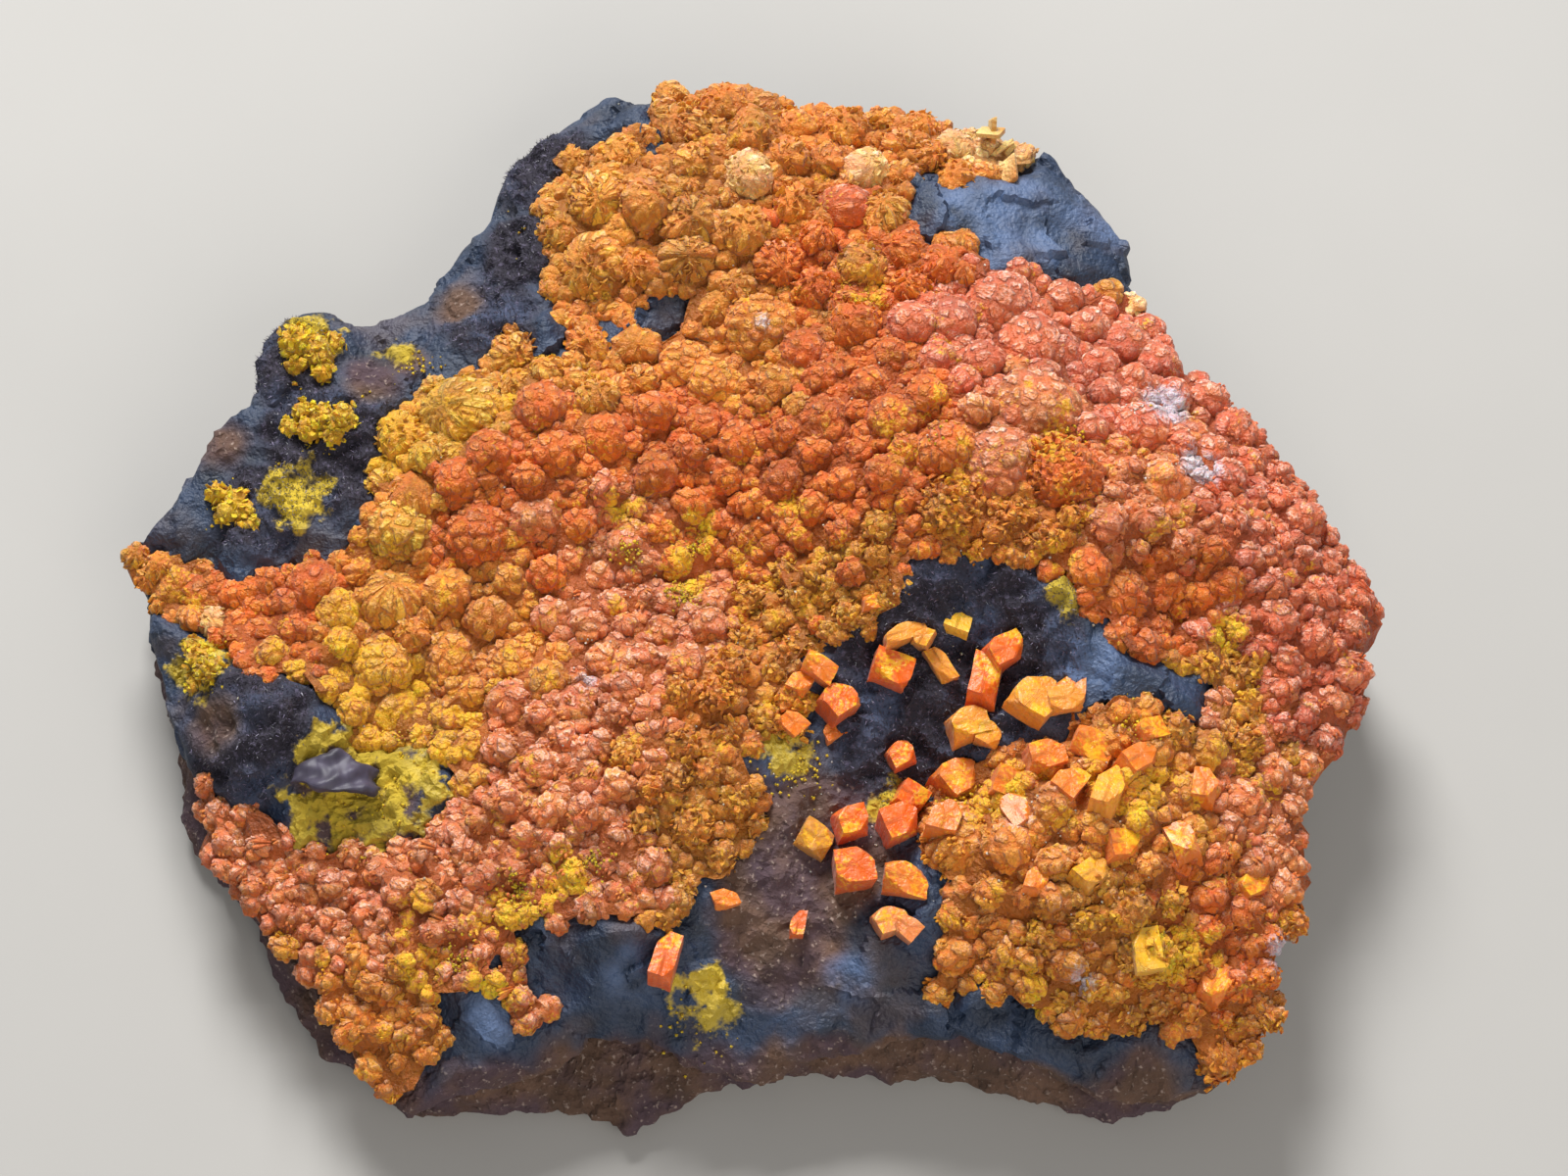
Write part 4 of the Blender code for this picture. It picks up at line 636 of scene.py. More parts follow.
def growth_tree():
    """Geometry Nodes: one crystal shape on every point, aimed, turned and sized by attributes."""
    tree = bpy.data.node_groups.new("Crystals on points", "GeometryNodeTree")
    face = tree.interface
    face.new_socket("Geometry", in_out="INPUT", socket_type="NodeSocketGeometry")
    face.new_socket("Crystal", in_out="INPUT", socket_type="NodeSocketObject")
    face.new_socket("Growth", in_out="INPUT", socket_type="NodeSocketFloat").default_value = 1.0
    face.new_socket("Ragged", in_out="INPUT", socket_type="NodeSocketFloat").default_value = 0.12
    face.new_socket("Seed", in_out="INPUT", socket_type="NodeSocketInt").default_value = 1
    face.new_socket("Finish", in_out="INPUT", socket_type="NodeSocketMaterial")
    face.new_socket("Geometry", in_out="OUTPUT", socket_type="NodeSocketGeometry")
    start = add_node(tree, "NodeGroupInput").outputs

    def attribute(name, data_type):
        reader = add_node(tree, "GeometryNodeInputNamedAttribute", {"Name": name}, data_type=data_type)
        return reader.outputs["Attribute"]

    aim = add_node(tree, "FunctionNodeAlignRotationToVector", {"Vector": attribute("aim", "FLOAT_VECTOR")}, axis="Z")
    spin = add_node(tree, "FunctionNodeAxisAngleToRotation", {"Axis": (0.0, 0.0, 1.0), "Angle": attribute("spin", "FLOAT")})
    turned = add_node(
        tree, "FunctionNodeRotateRotation",
        {"Rotation": aim.outputs[0], "Rotate By": spin.outputs[0]}, rotation_space="LOCAL",
    )
    ragged = add_node(tree, "ShaderNodeMath", {0: 1.0, 1: start["Ragged"]}, operation="SUBTRACT")
    stretch = add_node(
        tree, "FunctionNodeRandomValue",
        {"Min": ragged.outputs[0], "Max": 1.0, "Seed": start["Seed"]}, data_type="FLOAT",
    )
    growth = add_node(
        tree, "ShaderNodeMath",
        {0: start["Growth"], 1: [o for o in stretch.outputs if o.enabled][0]}, operation="MULTIPLY",
    )
    size = add_node(
        tree, "ShaderNodeVectorMath",
        {0: attribute("size", "FLOAT_VECTOR"), "Scale": growth.outputs[0]}, operation="SCALE",
    )
    crystal = add_node(tree, "GeometryNodeObjectInfo", {"Object": start["Crystal"]})
    grown = add_node(tree, "GeometryNodeInstanceOnPoints", {
        "Points": start["Geometry"], "Instance": crystal.outputs["Geometry"],
        "Rotation": turned.outputs[0], "Scale": size.outputs[0],
    })
    real = add_node(tree, "GeometryNodeRealizeInstances", {"Geometry": grown.outputs[0]})
    finished = add_node(tree, "GeometryNodeSetMaterial", {"Geometry": real.outputs[0], "Material": start["Finish"]})
    add_node(tree, "NodeGroupOutput", {"Geometry": finished.outputs[0]})
    return tree


def socket_id(tree, name):
    """The identifier of a named input of a Geometry Nodes tree."""
    return next(
        item.identifier for item in tree.interface.items_tree
        if item.item_type == "SOCKET" and item.in_out == "INPUT" and item.name == name
    )


class Points:
    """Places where crystals grow, gathered before they are handed to Geometry Nodes."""

    def __init__(self):
        self.at = []
        self.aim = []
        self.spin = []
        self.size = []
        self.tint = []
        self.powder = []

    def add(self, at, aim, spin, size, tint, powder):
        self.at.append(at)
        self.aim.append(aim)
        self.spin.append(spin)
        self.size.append(size)
        self.tint.append(tint)
        self.powder.append(powder)

    def extend(self, other):
        for key in vars(self):
            getattr(self, key).extend(getattr(other, key))

    def mesh_object(self, name):
        data = bpy.data.meshes.new(name)
        data.from_pydata(np.asarray(self.at).tolist(), [], [])
        for key, kind, field in (
            ("aim", "FLOAT_VECTOR", "vector"), ("size", "FLOAT_VECTOR", "vector"),
            ("tint", "FLOAT_VECTOR", "vector"), ("spin", "FLOAT", "value"), ("powder", "FLOAT", "value"),
        ):
            layer = data.attributes.new(key, kind, "POINT")
            layer.data.foreach_set(field, np.asarray(getattr(self, key), dtype=np.float32).ravel())
        made = bpy.data.objects.new(name, data)
        bpy.context.scene.collection.objects.link(made)
        return made


def grown_mesh(points, shape, finish, seed, growth=1.0, ragged=0.12):
    """What Geometry Nodes make of the points, as a plain mesh."""
    tree = bpy.data.node_groups.get("Crystals on points") or growth_tree()
    carrier = points.mesh_object("points")
    maker = carrier.modifiers.new("Crystals", "NODES")
    maker.node_group = tree
    for name, value in (
        ("Crystal", shape), ("Growth", growth), ("Ragged", ragged), ("Seed", seed), ("Finish", finish),
    ):
        maker[socket_id(tree, name)] = value
    graph = bpy.context.evaluated_depsgraph_get()
    data = bpy.data.meshes.new_from_object(carrier.evaluated_get(graph))
    bpy.data.objects.remove(carrier)
    return data


def keep_in_box(mesh, margin=0.02 * MM):
    """Hold every vertex inside the solids' box."""
    flat = np.empty(len(mesh.vertices) * 3, dtype=np.float32)
    mesh.vertices.foreach_get("co", flat)
    corners = flat.reshape(-1, 3)
    low = np.array(CAD_LOW) + margin * np.array([1.0, 1.0, 0.0])
    high = np.array(CAD_HIGH) - margin
    mesh.vertices.foreach_set("co", np.clip(corners, low, high).ravel())
    mesh.update()


def settle(name, mesh, slot, *stands_for):
    """Link a finished mesh as a piece that rides on the root body."""
    keep_in_box(mesh)
    made = bpy.data.objects.new(name, mesh)
    bpy.context.scene.collection.objects.link(made)
    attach(made, "root")
    if stands_for:
        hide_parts(*stands_for)
    return made


def sphere_directions(count, draw, lowest=-0.35):
    """Directions spread evenly over a ball, above a lowest height, a little shaken."""
    index = np.arange(count) + 0.5
    height = 1.0 - 2.0 * index / count
    around = math.pi * (1.0 + 5.0 ** 0.5) * index + draw.uniform(0.0, 6.28)
    flat = np.sqrt(1.0 - height ** 2)
    out = np.stack([flat * np.cos(around), flat * np.sin(around), height], axis=1)
    shaker = np.random.default_rng(draw.randrange(1 << 30))
    out += shaker.normal(0.0, 0.09, out.shape)
    out /= np.linalg.norm(out, axis=1)[:, None]
    return out[out[:, 2] > lowest]


class Lump:
    """A ball of crystals: its middle and radius in metres, its habit, tint and powder."""

    def __init__(self, x, y, radius, middle, habit, tint, powder):
        self.x = x
        self.y = y
        self.radius = radius * MM
        self.middle = np.array(middle)
        self.habit = habit
        self.tint = tint
        self.powder = powder


def druse_lumps(settings):
    draw = random.Random(settings.seed)
    marked = {(x, y): tint for x, y, tint in MARKED_LUMPS}
    lumps = []
    for x, y, radius in grow_lumps():
        hit, _ = drop(CRUST_TREE, x, y)
        if hit is None:
            continue
        district = district_at(x, y, draw, 1.3)
        tint = marked.get((x, y), district[3])
        middle = hit - Vector((0.0, 0.0, 0.9 * radius * MM))
        lumps.append(Lump(x, y, radius, middle, district[2], tint, district[4]))
    return lumps


# How each habit shapes a lump: the size of its lobes and the depth of the creases between them,
# in millimetres, how much the lobes are drawn out, and whether their streaks start at the lump's pole
FIBRE_WIDTH = 0.13
# How much of the lit colour the faces along the lobes' borders keep: painted shade in the creases
CREASE_SHADE = 0.3
# The way towards the key light: fibre tips on that side of a lump get painted highlight
LIT_SIDE = np.array([-0.1, 0.75, 0.40])
HABITS = {
    "knobs": (0.78, 0.20, 0.75, False),
    "blades": (0.80, 0.17, 0.6, True),
    "sheaves": (1.00, 0.24, 0.5, False),
    "domes": (0.85, 0.12, 0.85, False),
    "plates": (0.90, 0.24, 0.8, False),
    "crumble": (0.48, 0.26, 0.7, False),
}


def unit_ball(detail, kept={}):
    """The corners and faces of a unit ball of triangles."""
    if detail not in kept:
        mesh = bmesh.new()
        bmesh.ops.create_icosphere(mesh, subdivisions=detail, radius=1.0)
        corners = np.array([v.co for v in mesh.verts])
        faces = np.array([[v.index for v in f.verts] for f in mesh.faces])
        mesh.free()
        kept[detail] = (corners / np.linalg.norm(corners, axis=1)[:, None], faces)
    return kept[detail]


class Skin:
    """Triangles with the attributes that the crystal material reads, gathered piece by piece."""

    FIELDS = (("tint", "FLOAT_VECTOR", "vector"), ("grain", "FLOAT_VECTOR", "vector"),
              ("height", "FLOAT", "value"), ("outer", "FLOAT", "value"), ("powder", "FLOAT", "value"),
              ("frost", "FLOAT", "value"))

    def __init__(self):
        self.count = 0
        self.corners = []
        self.faces = []
        self.values = {name: [] for name, _, _ in self.FIELDS}

    def add(self, corners, faces, **values):
        used, compact = np.unique(faces, return_inverse=True)
        self.corners.append(corners[used])
        self.faces.append(compact.reshape(-1, 3) + self.count)
        self.count += len(used)
        for name, value in values.items():
            self.values[name].append(value[used])

    def mesh(self, name, finish):
        data = bpy.data.meshes.new(name)
        corners = np.concatenate(self.corners).astype(np.float32)
        faces = np.concatenate(self.faces).astype(np.int32)
        data.vertices.add(len(corners))
        data.vertices.foreach_set("co", corners.ravel())
        data.loops.add(3 * len(faces))
        data.loops.foreach_set("vertex_index", faces.ravel())
        data.polygons.add(len(faces))
        data.polygons.foreach_set("loop_start", np.arange(0, 3 * len(faces), 3, dtype=np.int32))
        data.update(calc_edges=True)
        for key, kind, field in self.FIELDS:
            layer = data.attributes.new(key, kind, "POINT")
            layer.data.foreach_set(field, np.concatenate(self.values[key]).astype(np.float32).ravel())
        data.shade_smooth()
        data.materials.append(finish)
        return data


def petal_space(directions):
    """Directions laid out so that cells in it run out from the pole like petals."""
    flat = directions[:, :2] / (np.linalg.norm(directions[:, :2], axis=1)[:, None] + 1e-6)
    tilt = np.arccos(np.clip(directions[:, 2], -1.0, 1.0))
    return np.column_stack([flat, 0.45 * tilt])


def lobe_cells(directions, count, drawn_out, polar, draw):
    """The nearest lobe of each direction, how far it is, and how far the next one is."""
    middles = sphere_directions(count, draw, -1.1)
    if polar:
        at = petal_space(directions)
        lobes = petal_space(middles)
    else:
        along = np.array([0.9, -0.2, 0.3]) + np.array([draw.gauss(0.0, 0.5) for _ in range(3)])
        along /= np.linalg.norm(along)
        squeeze = np.eye(3) - (1.0 - drawn_out) * np.outer(along, along)
        at = directions @ squeeze
        lobes = middles @ squeeze
    away = np.linalg.norm(at[:, None, :] - lobes[None, :, :], axis=2)
    away *= np.array([draw.uniform(0.72, 1.30) for _ in range(len(lobes))])
    order = np.argpartition(away, 1, axis=1)[:, :2]
    pair = np.take_along_axis(away, order, axis=1)
    nearest = np.where(pair[:, 0] <= pair[:, 1], order[:, 0], order[:, 1])
    return nearest, pair.min(axis=1), pair.max(axis=1), middles


def rosette_fibres(directions, nearest, radius):
    """The same as fibres(), for fibres that all run out from the lump's pole."""
    wide = 0.7 * radius / (FIBRE_WIDTH * MM)
    space = petal_space(directions)
    return np.column_stack([wide * space[:, :2], 8.5 * space[:, 2] + 2.1 * nearest]), 1.8 * space[:, 2]


def fibres(directions, middles, nearest, lobe, radius, draw):
    """Where each corner lies in its lobe's fan of fibres, in fibre widths round and lobe widths
    out, and how near it is to the fibres' outer ends."""
    top = np.array([0.0, 0.1, 1.0])
    away = middles * (middles @ top)[:, None] - top
    away += np.array([[draw.gauss(0.0, 0.35) for _ in range(3)] for _ in range(len(middles))])
    away -= middles * (away * middles).sum(axis=1)[:, None]
    away /= np.linalg.norm(away, axis=1)[:, None]
    aside = np.cross(middles, away)
    offset = directions - middles[nearest]
    out = (offset * away[nearest]).sum(axis=1) + 1.05 * lobe
    across = (offset * aside[nearest]).sum(axis=1)
    angle = np.arctan2(across, np.maximum(out, 0.1 * lobe))
    per_turn = 1.05 * lobe * radius / (FIBRE_WIDTH * MM)
    reach = np.hypot(out, across) / lobe
    return np.column_stack([angle * per_turn, 3.6 * reach, 3.7 * nearest]), reach - 0.5


def add_lump(skin, lump, others, settings, draw):
    """One lump: a ball swollen into lobes with creases between, less what its neighbours hide."""
    size, crease, drawn_out, polar = HABITS[lump.habit]
    big = lump.radius > 1.42 * MM
    small = lump.radius < 0.74 * MM
    directions, faces = unit_ball(5 if big else 3 if small else 4)
    outward = directions
    if polar:
        lean = Euler((draw.gauss(0.0, 0.3), draw.gauss(0.0, 0.3), draw.uniform(0.0, 6.28))).to_matrix()
        outward = directions @ np.array(lean).T
    count = max(14, int(4.0 * math.pi * (lump.radius / (size * MM)) ** 2 * draw.uniform(0.9, 1.2)))
    nearest, first, second, middles = lobe_cells(outward, count, drawn_out, polar, draw)
    spacing = np.median(first) * 2.4
    dome = np.sqrt(np.clip(1.0 - (first / (1.15 * spacing)) ** 2, 0.0, 1.0))
    seam = np.clip((second - first) / (0.55 * spacing), 0.0, 1.0)
    height = 0.45 * dome + 0.55 * seam * (2.0 - seam)
    stand = np.array([draw.uniform(-0.6, 0.45) for _ in range(len(middles))])[nearest]
    swell = np.zeros(len(directions))
    for _ in range(4):
        way = np.array([draw.gauss(0.0, 1.7) for _ in range(3)])
        swell += np.cos(directions @ way + draw.uniform(0.0, 6.28))
    depth = min(crease * MM, 0.34 * lump.radius)
    if polar:
        grain, outer = rosette_fibres(outward, nearest, lump.radius)
        around = np.arctan2(outward[:, 1], outward[:, 0])
        turn = 9.0 * around + 1.6 * np.sin(5.0 * around + lump.x) + 1.2 * np.sin(3.0 * around + lump.y)
    else:
        grain, outer = fibres(directions, middles, nearest, spacing, lump.radius, draw)
        turn = 2.4 * grain[:, 0]
    ruffle = np.sin(turn + 3.7 * nearest) * np.clip(outer, 0.0, 1.0)
    relief = height - 1.0 + stand * height + 0.35 * ruffle * height
    radial = lump.radius * (1.0 + 0.035 * swell) + depth * relief
    if (lump.x, lump.y) in OPEN_ROSETTES:
        hole = np.exp(-(np.arccos(np.clip(directions[:, 2], -1.0, 1.0)) / 0.22) ** 2)
        radial -= 0.7 * MM * hole
        # The hole gets no lit colour: painted shade
        height = height * (1.0 - hole)
    corners = lump.middle + directions * radial[:, None]
    hidden = np.zeros(len(corners), dtype=bool)
    for other in others:
        hidden |= np.linalg.norm(corners - other.middle, axis=1) < 0.76 * other.radius
    low = directions[:, 2] < -0.2
    kept = faces[~((hidden | low)[faces].all(axis=1))]
    if len(kept) == 0:
        return
    colour = np.array(list(getattr(settings, lump.tint))) * draw.uniform(0.88, 1.10)
    tones = np.array([
        [draw.uniform(0.94, 1.06), draw.uniform(0.84, 1.16), draw.uniform(0.8, 1.2)] for _ in range(len(middles))
    ])
    tint = np.clip(colour * tones[nearest], 0.0, 1.0)
    # Painted shade: each corner's share of the lit colour, smaller on the lower side of the lump and smaller still on
    # faces along the borders between lobes
    shaded = height * (0.35 + 0.65 * np.clip((directions[:, 2] + 0.1) / 0.65, 0.0, 1.0))
    split = (nearest[faces] != nearest[faces][:, :1]).any(axis=1)
    shaded[faces[split]] *= CREASE_SHADE
    # Painted highlight: fibre tips on the side of each lump towards the light are painted paler, more strongly towards
    # the south
    painted_highlight = TIP_HIGHLIGHT.get(lump.tint, 0.28) * np.clip(0.35 + directions @ LIT_SIDE, 0.0, 1.0)
    painted_highlight *= np.interp(lump.y, (-20.0, 0.0), (2.2, 1.0))
    at = plan(corners)
    ragged = 1.6 * (height - 0.5)
    dust = near_places(at, DRUSE_DUST, ragged)
    skin.add(
        corners, kept, tint=tint, grain=grain, height=shaded, outer=painted_highlight * (0.5 + outer),
        powder=lump.powder + 0.75 * dust, frost=near_places(at, DRUSE_FROST, ragged),
    )


def filler_lumps(lumps, settings):
    """Small lumps that fill the druse between the large ones."""
    draw = random.Random(settings.seed + 7)
    trials = [(draw.uniform(-31.0, 31.0), draw.uniform(-26.5, 26.0)) for _ in range(30000)]
    depths = crust_depth(trials)
    taken = [(l.x, l.y, 0.74 * l.radius / MM) for l in lumps]
    cells = {}
    for x, y, radius in taken:
        cells.setdefault((int(x // 3.0), int(y // 3.0)), []).append((x, y, radius))
    found = []
    for (x, y), depth in zip(trials, depths):
        radius = draw.uniform(0.5, 0.95)
        if depth < 0.35 * radius:
            continue
        home = (int(x // 3.0), int(y // 3.0))
        near = [o for i in (-1, 0, 1) for j in (-1, 0, 1) for o in cells.get((home[0] + i, home[1] + j), ())]
        if any(math.hypot(x - a, y - b) < r + 0.35 * radius for a, b, r in near):
            continue
        hit, _ = drop(CRUST_TREE, x, y)
        if hit is None:
            continue
        district = district_at(x, y, draw, 1.0)
        middle = hit - Vector((0.0, 0.0, 0.78 * radius * MM))
        found.append(Lump(x, y, radius, middle, district[2], district[3], district[4]))
        cells.setdefault(home, []).append((x, y, 0.55 * radius))
    return found


def lean_of(habit, direction, draw):
    """The way a crystal points: outwards, shaken more in the ragged habits."""
    shake = {"blades": 0.20, "sheaves": 0.25, "plates": 0.5, "crumble": 0.6}[habit]
    aim = np.array(direction) + np.array([draw.gauss(0.0, shake) for _ in range(3)])
    if habit == "sheaves":
        aim += np.array([-0.25, -0.28, 0.0])
    return aim / np.linalg.norm(aim)


def crystals_on_lump(lump, others, settings, draw):
    """Single crystals that stand out from one lump, leaving out those inside its neighbours."""
    spacing = {
        "blades": settings.blade_spacing, "sheaves": settings.sheaf_spacing,
        "plates": settings.plate_spacing, "crumble": settings.crumble_spacing,
    }[lump.habit]
    count = int(4.0 * math.pi * lump.radius ** 2 / spacing ** 2)
    colour = np.array(list(getattr(settings, lump.tint)))
    found = Points()
    if lump.habit == "plates" and lump.tint != "cream":
        return found
    for direction in sphere_directions(max(count, 6), draw):
        tip = lump.middle + lump.radius * direction
        if any(np.dot(tip - o.middle, tip - o.middle) < (0.88 * o.radius) ** 2 for o in others):
            continue
        swell = draw.uniform(0.7, 1.3)
        if lump.habit == "blades":
            size = (settings.blade_width * swell, settings.blade_thickness * draw.uniform(0.7, 1.4), settings.blade_width)
            proud = 0.07 * MM
        elif lump.habit == "sheaves":
            size = (settings.sheaf_width * swell, settings.sheaf_width * swell, settings.sheaf_length * swell)
            proud = 0.10 * MM
        elif lump.habit == "plates":
            wide = settings.plate_width * swell
            size = (wide, settings.plate_thickness, 0.8 * wide)
            proud = 0.35 * wide
        else:
            wide = settings.crumble_width
            size = (wide * draw.uniform(0.5, 1.5), wide * draw.uniform(0.2, 0.5), wide * swell)
            proud = 0.3 * wide
        aim = lean_of(lump.habit, direction, draw)
        foot = tip + direction * proud - aim * size[2]
        tint = np.clip(colour * draw.uniform(0.85, 1.12) * np.array([1.0, draw.uniform(0.88, 1.15), 1.0]), 0.0, 1.0)
        found.add(foot, aim, draw.uniform(0.0, 6.28), size, tint, lump.powder)
    return found


def francevillite_material(settings, name="Francevillite, grown"):
    """Francevillite, grown as a druse: waxy fibres, a little translucent, with a painted highlight at their tips on the
    lit side and painted shade, darker and redder, in the creases and on the lower sides of the lumps.
    """
    made, tree, shader = new_material(
        name, Roughness=0.50, IOR=1.55, Specular_IOR_Level=0.3, Subsurface_Weight=0.2,
        Subsurface_Scale=0.0004, Sheen_Weight=0.12, Sheen_Roughness=0.4,
    )
    shader.inputs["Subsurface Radius"].default_value = (1.0, 0.35, 0.10)
    where = add_node(tree, "ShaderNodeTexCoord").outputs["Object"]

    def attribute(key, output="Fac"):
        return add_node(tree, "ShaderNodeAttribute", attribute_name=key).outputs[output]

    def mixed(share, first, second, blend="MIX"):
        return add_node(
            tree, "ShaderNodeMix", {0: share, 6: first, 7: second}, data_type="RGBA", blend_type=blend
        ).outputs[2]

    def ranged(value, low, high, start=0.0, end=1.0, name="Range"):
        return add_node(
            tree, "ShaderNodeMapRange", {0: value, 1: low, 2: high, 3: start, 4: end}, name=name
        ).outputs[0]

    def sum_of(first, second, kind="ADD"):
        return add_node(tree, "ShaderNodeMath", {0: first, 1: second}, operation=kind).outputs[0]

    tint = attribute("tint", "Color")
    grain = attribute("grain", "Vector")
    # Bundles of fibres 0.25 mm wide fan out through each lobe, with fibres 0.13 mm wide in them
    bundle = add_node(tree, "ShaderNodeTexVoronoi", {"Vector": grain, "Scale": 0.6})
    fibre = add_node(tree, "ShaderNodeTexNoise", {"Vector": grain, "Scale": 1.0, "Detail": 2.0}).outputs[0]
    fine = add_node(tree, "ShaderNodeTexNoise", {"Vector": where, "Scale": 5200.0, "Detail": 3.0}).outputs[0]
    core = ranged(bundle.outputs["Distance"], 0.1, 0.75, 1.0, 0.0)
    seam = ranged(core, 0.0, 0.7, 0.72, 1.0)
    # Painted shade: the tint darkened and reddened, taking over where the height attribute is low (the lower sides of
    # lumps and the creases between lobes) and at the borders of the fibre bundles
    share = sum_of(ranged(attribute("height"), 0.0, 0.62), seam, "MULTIPLY")
    painted_shade = mixed(1.0, tint, (0.72, 0.44, 0.22, 1.0), "MULTIPLY")
    body = mixed(share, painted_shade, tint)
    # Painted highlight: the fibres' outer ends on the side towards the light are painted a pinkish white
    lit = sum_of(ranged(attribute("outer"), 0.0, 1.0), share, "MULTIPLY")
    grainy = sum_of(sum_of(core, 0.12, "MULTIPLY"), sum_of(fine, 0.5, "MULTIPLY"))
    ray = ranged(sum_of(fibre, grainy), 0.68, 0.98, 0.05, 1.0)
    tipped = mixed(sum_of(ray, lit, "MULTIPLY"), body, (*settings.tips, 1.0))
    # Patches of 2 mm drift in tone, as the crystals weather unevenly, and each bundle has its own
    drift = add_node(tree, "ShaderNodeTexNoise", {"Vector": where, "Scale": 500.0, "Detail": 3.0}).outputs[0]
    own = sum_of(drift, sum_of(bundle.outputs["Color"], 0.22, "MULTIPLY"))
    tone = ranged(own, 0.35, 0.85, 0.72, 1.26, "Tone")
    toned = add_node(tree, "ShaderNodeHueSaturation", {"Value": tone, "Color": tipped}).outputs[0]
    # Powder grains of 0.2 mm settle in patches of 1.5 mm
    patch = add_node(tree, "ShaderNodeTexNoise", {"Vector": where, "Scale": 650.0, "Detail": 2.0}).outputs[0]
    both = sum_of(sum_of(fine, 0.8, "MULTIPLY"), patch)
    powdery = sum_of(both, sum_of(attribute("powder"), 0.36, "MULTIPLY"))
    dusted = mixed(ranged(powdery, 1.10, 1.26, 0.0, 0.9), toned, (*settings.mustard, 1.0))
    lemon = mixed(ranged(powdery, 1.36, 1.50, 0.0, 0.9), dusted, (*settings.powder, 1.0))
    frosty = ranged(sum_of(attribute("frost"), sum_of(fine, fibre)), 1.3, 2.1, 0.0, 0.8)
    tree.links.new(mixed(frosty, lemon, (*settings.frost, 1.0)), shader.inputs["Base Color"])
    ridges = sum_of(sum_of(core, 0.6, "MULTIPLY"), sum_of(fibre, 0.9, "MULTIPLY"))
    raised = sum_of(ridges, ranged(attribute("height"), 0.15, 0.55), "MULTIPLY")
    rough = sum_of(raised, sum_of(fine, 1.2, "MULTIPLY"))
    bump = add_node(tree, "ShaderNodeBump", {"Strength": 1.0, "Distance": 0.00018, "Height": rough}, name="Relief")
    tree.links.new(bump.outputs[0], shader.inputs["Normal"])
    return made


def crust_ground_mesh(settings, finish):
    """The druse's skin between and under the crystals, drawn in a little from the solid's."""
    mesh = bmesh.new()
    mesh.from_mesh(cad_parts["francevillite_crust"].data)
    bmesh.ops.remove_doubles(mesh, verts=mesh.verts, dist=1e-7)
    bmesh.ops.subdivide_edges(mesh, edges=mesh.edges, cuts=1, use_grid_fill=True)
    bmesh.ops.triangulate(mesh, faces=mesh.faces)
    mesh.normal_update()
    for vert in mesh.verts:
        rough = noise.fractal(vert.co / (0.5 * MM), 1.0, 2.0, 3)
        vert.co += vert.normal * MM * (0.10 * rough - 0.20)
    data = bpy.data.meshes.new("crust_ground")
    mesh.to_mesh(data)
    mesh.free()
    corners = np.array([v.co for v in data.vertices])
    # Painted shade where the ground shows between the lumps: half the colour of the districts around, and redder
    tint = 0.5 * blended_tint(plan(corners), settings) * np.array([1.0, 0.8, 0.6])
    for name, kind, field, values in (
        ("tint", "FLOAT_VECTOR", "vector", tint),
        ("grain", "FLOAT_VECTOR", "vector", 3.0 * corners / MM),
        # A middling height, so the ground also takes part of the material's painted shade
        ("height", "FLOAT", "value", np.full(len(corners), 0.45)),
        ("powder", "FLOAT", "value", np.full(len(corners), 0.0)),
    ):
        layer = data.attributes.new(name, kind, "POINT")
        layer.data.foreach_set(field, np.asarray(values, dtype=np.float32).ravel())
    data.materials.append(finish)
    return data


class FRANCEVILLITE_OT_druse(bpy.types.Operator):
    """Grows the lobed lumps of the druse where the solids have them"""

    bl_idname = "francevillite.druse"
    bl_label = "Druse"

    def execute(self, context):
        settings = context.scene.francevillite_druse
        finish = francevillite_material(settings)
        lumps = druse_lumps(settings)
        fillers = filler_lumps(lumps, settings)
        draw = random.Random(settings.seed + 1)
        sectors = {}
        everything = lumps + fillers
        middles = np.array([l.middle for l in everything])
        radii = np.array([l.radius for l in everything])
        for index, lump in enumerate(everything):
            gap = np.linalg.norm(middles - lump.middle, axis=1) - radii - lump.radius
            near = [everything[i] for i in np.flatnonzero(gap < 0.0) if i != index]
            add_lump(sectors.setdefault(sector_of(lump), Skin()), lump, near, settings, draw)
        for name, skin in sectors.items():
            data = skin.mesh(name, finish)
            settle(name, data, "francevillite", "francevillite_crust")
        ground = crust_ground_mesh(settings, finish)
        settle("crust_ground", ground, "francevillite", "francevillite_crust")
        return {"FINISHED"}


def sector_of(lump):
    """Which of the druse's pieces a lump belongs to."""
    side = "west" if lump.x < -9.0 else "middle" if lump.x < 6.0 else "east"
    part = "north" if lump.y > 3.0 else "south"
    return f"druse_{part}_{side}"


class FRANCEVILLITE_OT_crystals(bpy.types.Operator):
    """Grows the single blades, sheaves, plates and fragments that stand out from the lumps"""

    bl_idname = "francevillite.crystals"
    bl_label = "Standing crystals"

    def execute(self, context):
        settings = context.scene.francevillite_druse
        finish = bpy.data.materials["Francevillite, grown"]
        shapes = {
            "blades": blade_shape(), "sheaves": sheaf_shape(), "plates": plate_shape(),
            "crumble": fragment_shape(),
        }
        lumps = druse_lumps(settings)
        draw = random.Random(settings.seed + 2)
        groups = {}
        for lump in lumps:
            if lump.habit not in shapes:
                continue
            near = [
                o for o in lumps
                if o is not lump and np.linalg.norm(o.middle - lump.middle) < o.radius + lump.radius
            ]
            groups.setdefault(lump.habit, Points()).extend(crystals_on_lump(lump, near, settings, draw))
        for habit, points in groups.items():
            mesh = grown_mesh(points, shapes[habit], finish, settings.seed)
            settle("standing_" + habit, mesh, "francevillite", "francevillite_crust")
        for shape in shapes.values():
            bpy.data.objects.remove(shape)
        return {"FINISHED"}


